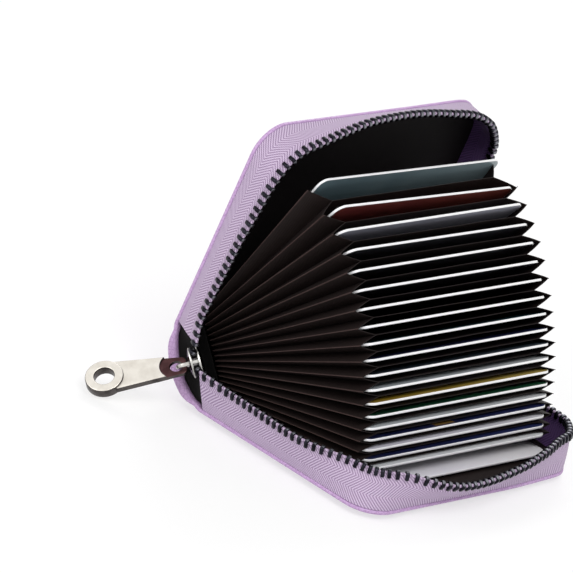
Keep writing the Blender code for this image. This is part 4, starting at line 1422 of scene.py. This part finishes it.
def zipSlider():
    turn = math.radians(slider["turn"])
    travel = spineDirection(-math.sin(turn), -math.cos(turn), 0)
    across = spineDirection(0, 0, 1)
    normal = spineDirection(-math.cos(turn), math.sin(turn), 0)
    centre = onSpine(slider["x"], slider["out"], holder["spineHeight"] / 2)
    place = frameAt(centre, travel, across)
    length, width, half, plate = (slider[key] for key in ("length", "width", "half", "plate"))
    nose = slider["nose"]
    outline = [
        (length / 2 - nose + nose * x, width / 2 * y) for x, y in arcPoints(0, 0, 1, -90, 90, 15)
    ]
    tail = [(-length * back, width * out) for back, out in slider["tail"]]
    outline += tail + [(x, -y) for x, y in reversed(tail)]
    top = domedPlate("slider_detail", outline, 1, place)
    base = domedPlate("base", outline, -1, place)
    bridgeTurn = Matrix(((1, 0, 0, 0), (0, 0, -1, 0), (0, 1, 0, 0), (0, 0, 0, 1)))
    centreHeight = half + slider["bridgeLeg"]
    sunk = half - plate
    bridgeLine = [
        (slider["bridgeOuter"], sunk),
        *arcPoints(0, centreHeight, slider["bridgeOuter"], 0, 180, 16),
        (-slider["bridgeOuter"], sunk),
        (-slider["bridgeInner"], sunk),
        *arcPoints(0, centreHeight, slider["bridgeInner"], 180, 0, 16),
        (slider["bridgeInner"], sunk),
    ]
    bridge = flatPlate("bridge", [bridgeLine], slider["bridgeWidth"], 0.3, place @ bridgeTurn)
    postAt = length / 2 - slider["postBack"]
    postLine = arcPoints(postAt, 0, slider["postRadius"], 0, 337.5, 15)
    post = flatPlate("post", [postLine], 2 * (half - plate), 0.05, place)
    uniteInto(top, [base, post, bridge])

    def sliderFinish(at, up):
        # The bridge, the post and the plates' sideways rims get the painted highlight
        if at.z > half + 0.03 or (abs(at.z) < half - slider["dome"] and abs(at.x - postAt) < 1.3):
            return 1
        rim = abs(at.x / (length / 2)) ** 2 + abs(at.y / (width / 2)) ** 2
        return 1 if rim > 0.82 and abs(up) < 0.8 and abs(at.z) > half - slider["dome"] - 0.5 else 0

    paintFaces(top, place, [sliderMetal, sliderHighlight], sliderFinish)
    shadeByAngle(top, 42)
    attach(top, "slider")
    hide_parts("slider_body")

    tilt, twist = math.radians(slider["pullerTilt"]), math.radians(slider["pullerTwist"])
    alongPull = math.cos(tilt) * normal + math.sin(tilt) * across
    wide = math.cos(tilt) * across - math.sin(tilt) * normal
    face = alongPull.cross(wide)
    wide = math.cos(twist) * wide + math.sin(twist) * face
    hinge = centre + normal * centreHeight * mm
    pullPlace = frameAt(hinge, alongPull, wide)
    rim, hole, ringAt = slider["eyeRim"], slider["eyeHole"], slider["ringAt"]

    def halfAt(u):
        return slider["eyeHalf"] + slider["taper"] * u

    corner, eyeEnd, shoulder = slider["eyeCorner"], slider["eyeEnd"], ringAt - slider["shoulderBack"]
    eyeLine = [
        *arcPoints(-rim + corner, halfAt(0) - corner, corner, 90, 180, 6),
        *arcPoints(-rim + corner, corner - halfAt(0), corner, 180, 270, 6),
        (eyeEnd, -halfAt(eyeEnd)),
        (eyeEnd, halfAt(eyeEnd)),
    ]
    eyeHole = arcPoints(rim + hole, 0, hole, 0, 348, 29)
    barLine = [
        *arcPoints(rim + hole, 0, slider["recess"], 49.2, -49.2, 14),
        (shoulder, -halfAt(shoulder)),
        *arcPoints(ringAt, 0, slider["ringHole"] + 0.8, 250, 110, 12),
        (shoulder, halfAt(shoulder)),
    ]
    ringLine = arcPoints(ringAt, 0, slider["ringRadius"], 0, 352.5, 47)
    ringHole = arcPoints(ringAt, 0, slider["ringHole"], 0, 350, 35)
    eyePlace = pullPlace @ Matrix.Translation((0, 0, (slider["eyeLow"] + slider["eyeThick"] / 2) * mm))
    pull = flatPlate("puller_detail", [ringLine, ringHole], slider["ringThick"], 0.35, pullPlace)
    bar = flatPlate("bar", [barLine], slider["barThick"], 0.25, pullPlace)
    eye = flatPlate("eye", [eyeLine, eyeHole], slider["eyeThick"], 0.18, eyePlace)
    uniteInto(pull, [bar, eye])

    def pullFinish(at, up):
        # Downward faces round the eye and the bar's recess get the dark copy as painted shade
        if up < -0.5 and at.x < rim + hole + slider["recess"] and at.z > 0.3 - slider["barThick"] / 2:
            return 2
        # Sideways faces get the darker copy as painted shade
        return 1 if abs(up) < 0.75 else 0

    paintFaces(pull, pullPlace, [nickel, shadedSideNickel, shadedRecessNickel], pullFinish)
    shadeByAngle(pull, 38)
    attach(pull, "puller")
    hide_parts("puller")


zipSlider()
print("slider and puller ready")


# Floor, light and camera

studio = {
    "cameraAt": (0.0, 0.0, 31.8),     # point the view is built round, in mm
    "azimuth": 53.89,
    "elevation": 21.35,
    "roll": 16.38,
    "distance": 1739.0,
    "shiftRight": -40.5,              # middle of the picture from that point, in mm
    "shiftUp": 20.7,
    "lens": 359.0,
    "shadowLifted": 0.64,             # share of the floor's white that shadows don't reach
    "floorHalf": 3.0,                 # in m
    "paper": "#FBFBFB",
    "worldLight": 0.55,
    "lampsAim": (0, 0, 0.03),         # in m
    "lamps": {                        # place in m, size in m and power in W
        "keyLight": ((-0.55, -0.75, 1.15), 0.7, 9.0),
        "fillLight": ((-1.1, 0.35, 0.5), 0.7, 3.0),
        "rimLight": ((0.9, 0.7, 0.9), 0.6, 4.0),
    },
}


def seenRays(tree):
    # 1 for what the camera sees, also in metal and through glass, and 0 for light on the object
    rays = addNode(tree, "LightPath")
    most = addNode(
        tree, "Math",
        {0: rays.outputs["Is Camera Ray"], 1: rays.outputs["Is Glossy Ray"]}, operation="MAXIMUM",
    )
    return addNode(tree, "Math", {0: most, 1: rays.outputs["Is Transmission Ray"]}, operation="MAXIMUM")


def buildStudio():
    az, el, roll = (math.radians(studio[key]) for key in ("azimuth", "elevation", "roll"))
    ahead = Vector((math.cos(el) * math.sin(az), math.cos(el) * math.cos(az), -math.sin(el)))
    right = ahead.cross(Vector((0, 0, 1))).normalized()
    up = right.cross(ahead)
    rightRolled = math.cos(roll) * right + math.sin(roll) * up
    upRolled = math.cos(roll) * up - math.sin(roll) * right
    centre = Vector(studio["cameraAt"]) * mm
    spot = centre - ahead * studio["distance"] * mm
    aim = centre + (rightRolled * studio["shiftRight"] + upRolled * studio["shiftUp"]) * mm
    look = (aim - spot).normalized()
    rightSeen = look.cross(upRolled).normalized()
    upSeen = rightSeen.cross(look)
    camera = linkedObject("camera", bpy.data.cameras.new("camera"))
    turn = Matrix((rightSeen, upSeen, -look)).transposed().to_4x4()
    camera.matrix_world = Matrix.Translation(spot) @ turn
    camera.data.lens = studio["lens"]
    camera.data.sensor_width = 36.0
    camera.data.clip_start = 0.1
    camera.data.clip_end = 20.0
    bpy.context.scene.camera = camera

    square = ((-1, -1), (1, -1), (1, 1), (-1, 1))
    corners = [(x * studio["floorHalf"], y * studio["floorHalf"], -0.2 * mm) for x, y in square]
    floor = makePiece("studio_floor", corners, [(0, 1, 2, 3)], [])
    paper, tree = newFinish("studioPaper", 0.9)  # matt seamless paper, nearly white
    seen = seenRays(tree)
    share = addNode(tree, "Math", {0: seen, 1: studio["shadowLifted"]}, operation="MULTIPLY")
    rest = addNode(tree, "Math", {0: 1.0, 1: share}, operation="SUBTRACT")
    tone = addNode(
        tree, "VectorMath", {0: linear(studio["paper"])[:3], "Scale": rest}, operation="SCALE"
    )
    white = (1, 1, 1, 1)
    values = {"Base Color": tone, "Emission Color": white, "Emission Strength": share}
    fillInputs(tree, tree.nodes["Principled BSDF"], values)
    floor.data.materials.append(paper)

    world = bpy.data.worlds.new("studioWorld")
    world.use_nodes = True
    bpy.context.scene.world = world
    tree = world.node_tree
    level = addNode(
        tree, "MapRange",
        {"Value": seenRays(tree), "To Min": studio["worldLight"], "To Max": 1.0},
    )
    fillInputs(tree, tree.nodes["Background"], {"Color": white, "Strength": level})

    for name, (at, size, power) in studio["lamps"].items():
        data = bpy.data.lights.new(name, "AREA")
        data.shape = "DISK"
        data.size = size
        data.energy = power
        lamp = linkedObject(name, data)
        lamp.location = at
        towards = Vector(studio["lampsAim"]) - Vector(at)
        lamp.rotation_euler = towards.to_track_quat("-Z", "Y").to_euler()
    bpy.context.scene.view_settings.view_transform = "Standard"


buildStudio()
print("studio ready")
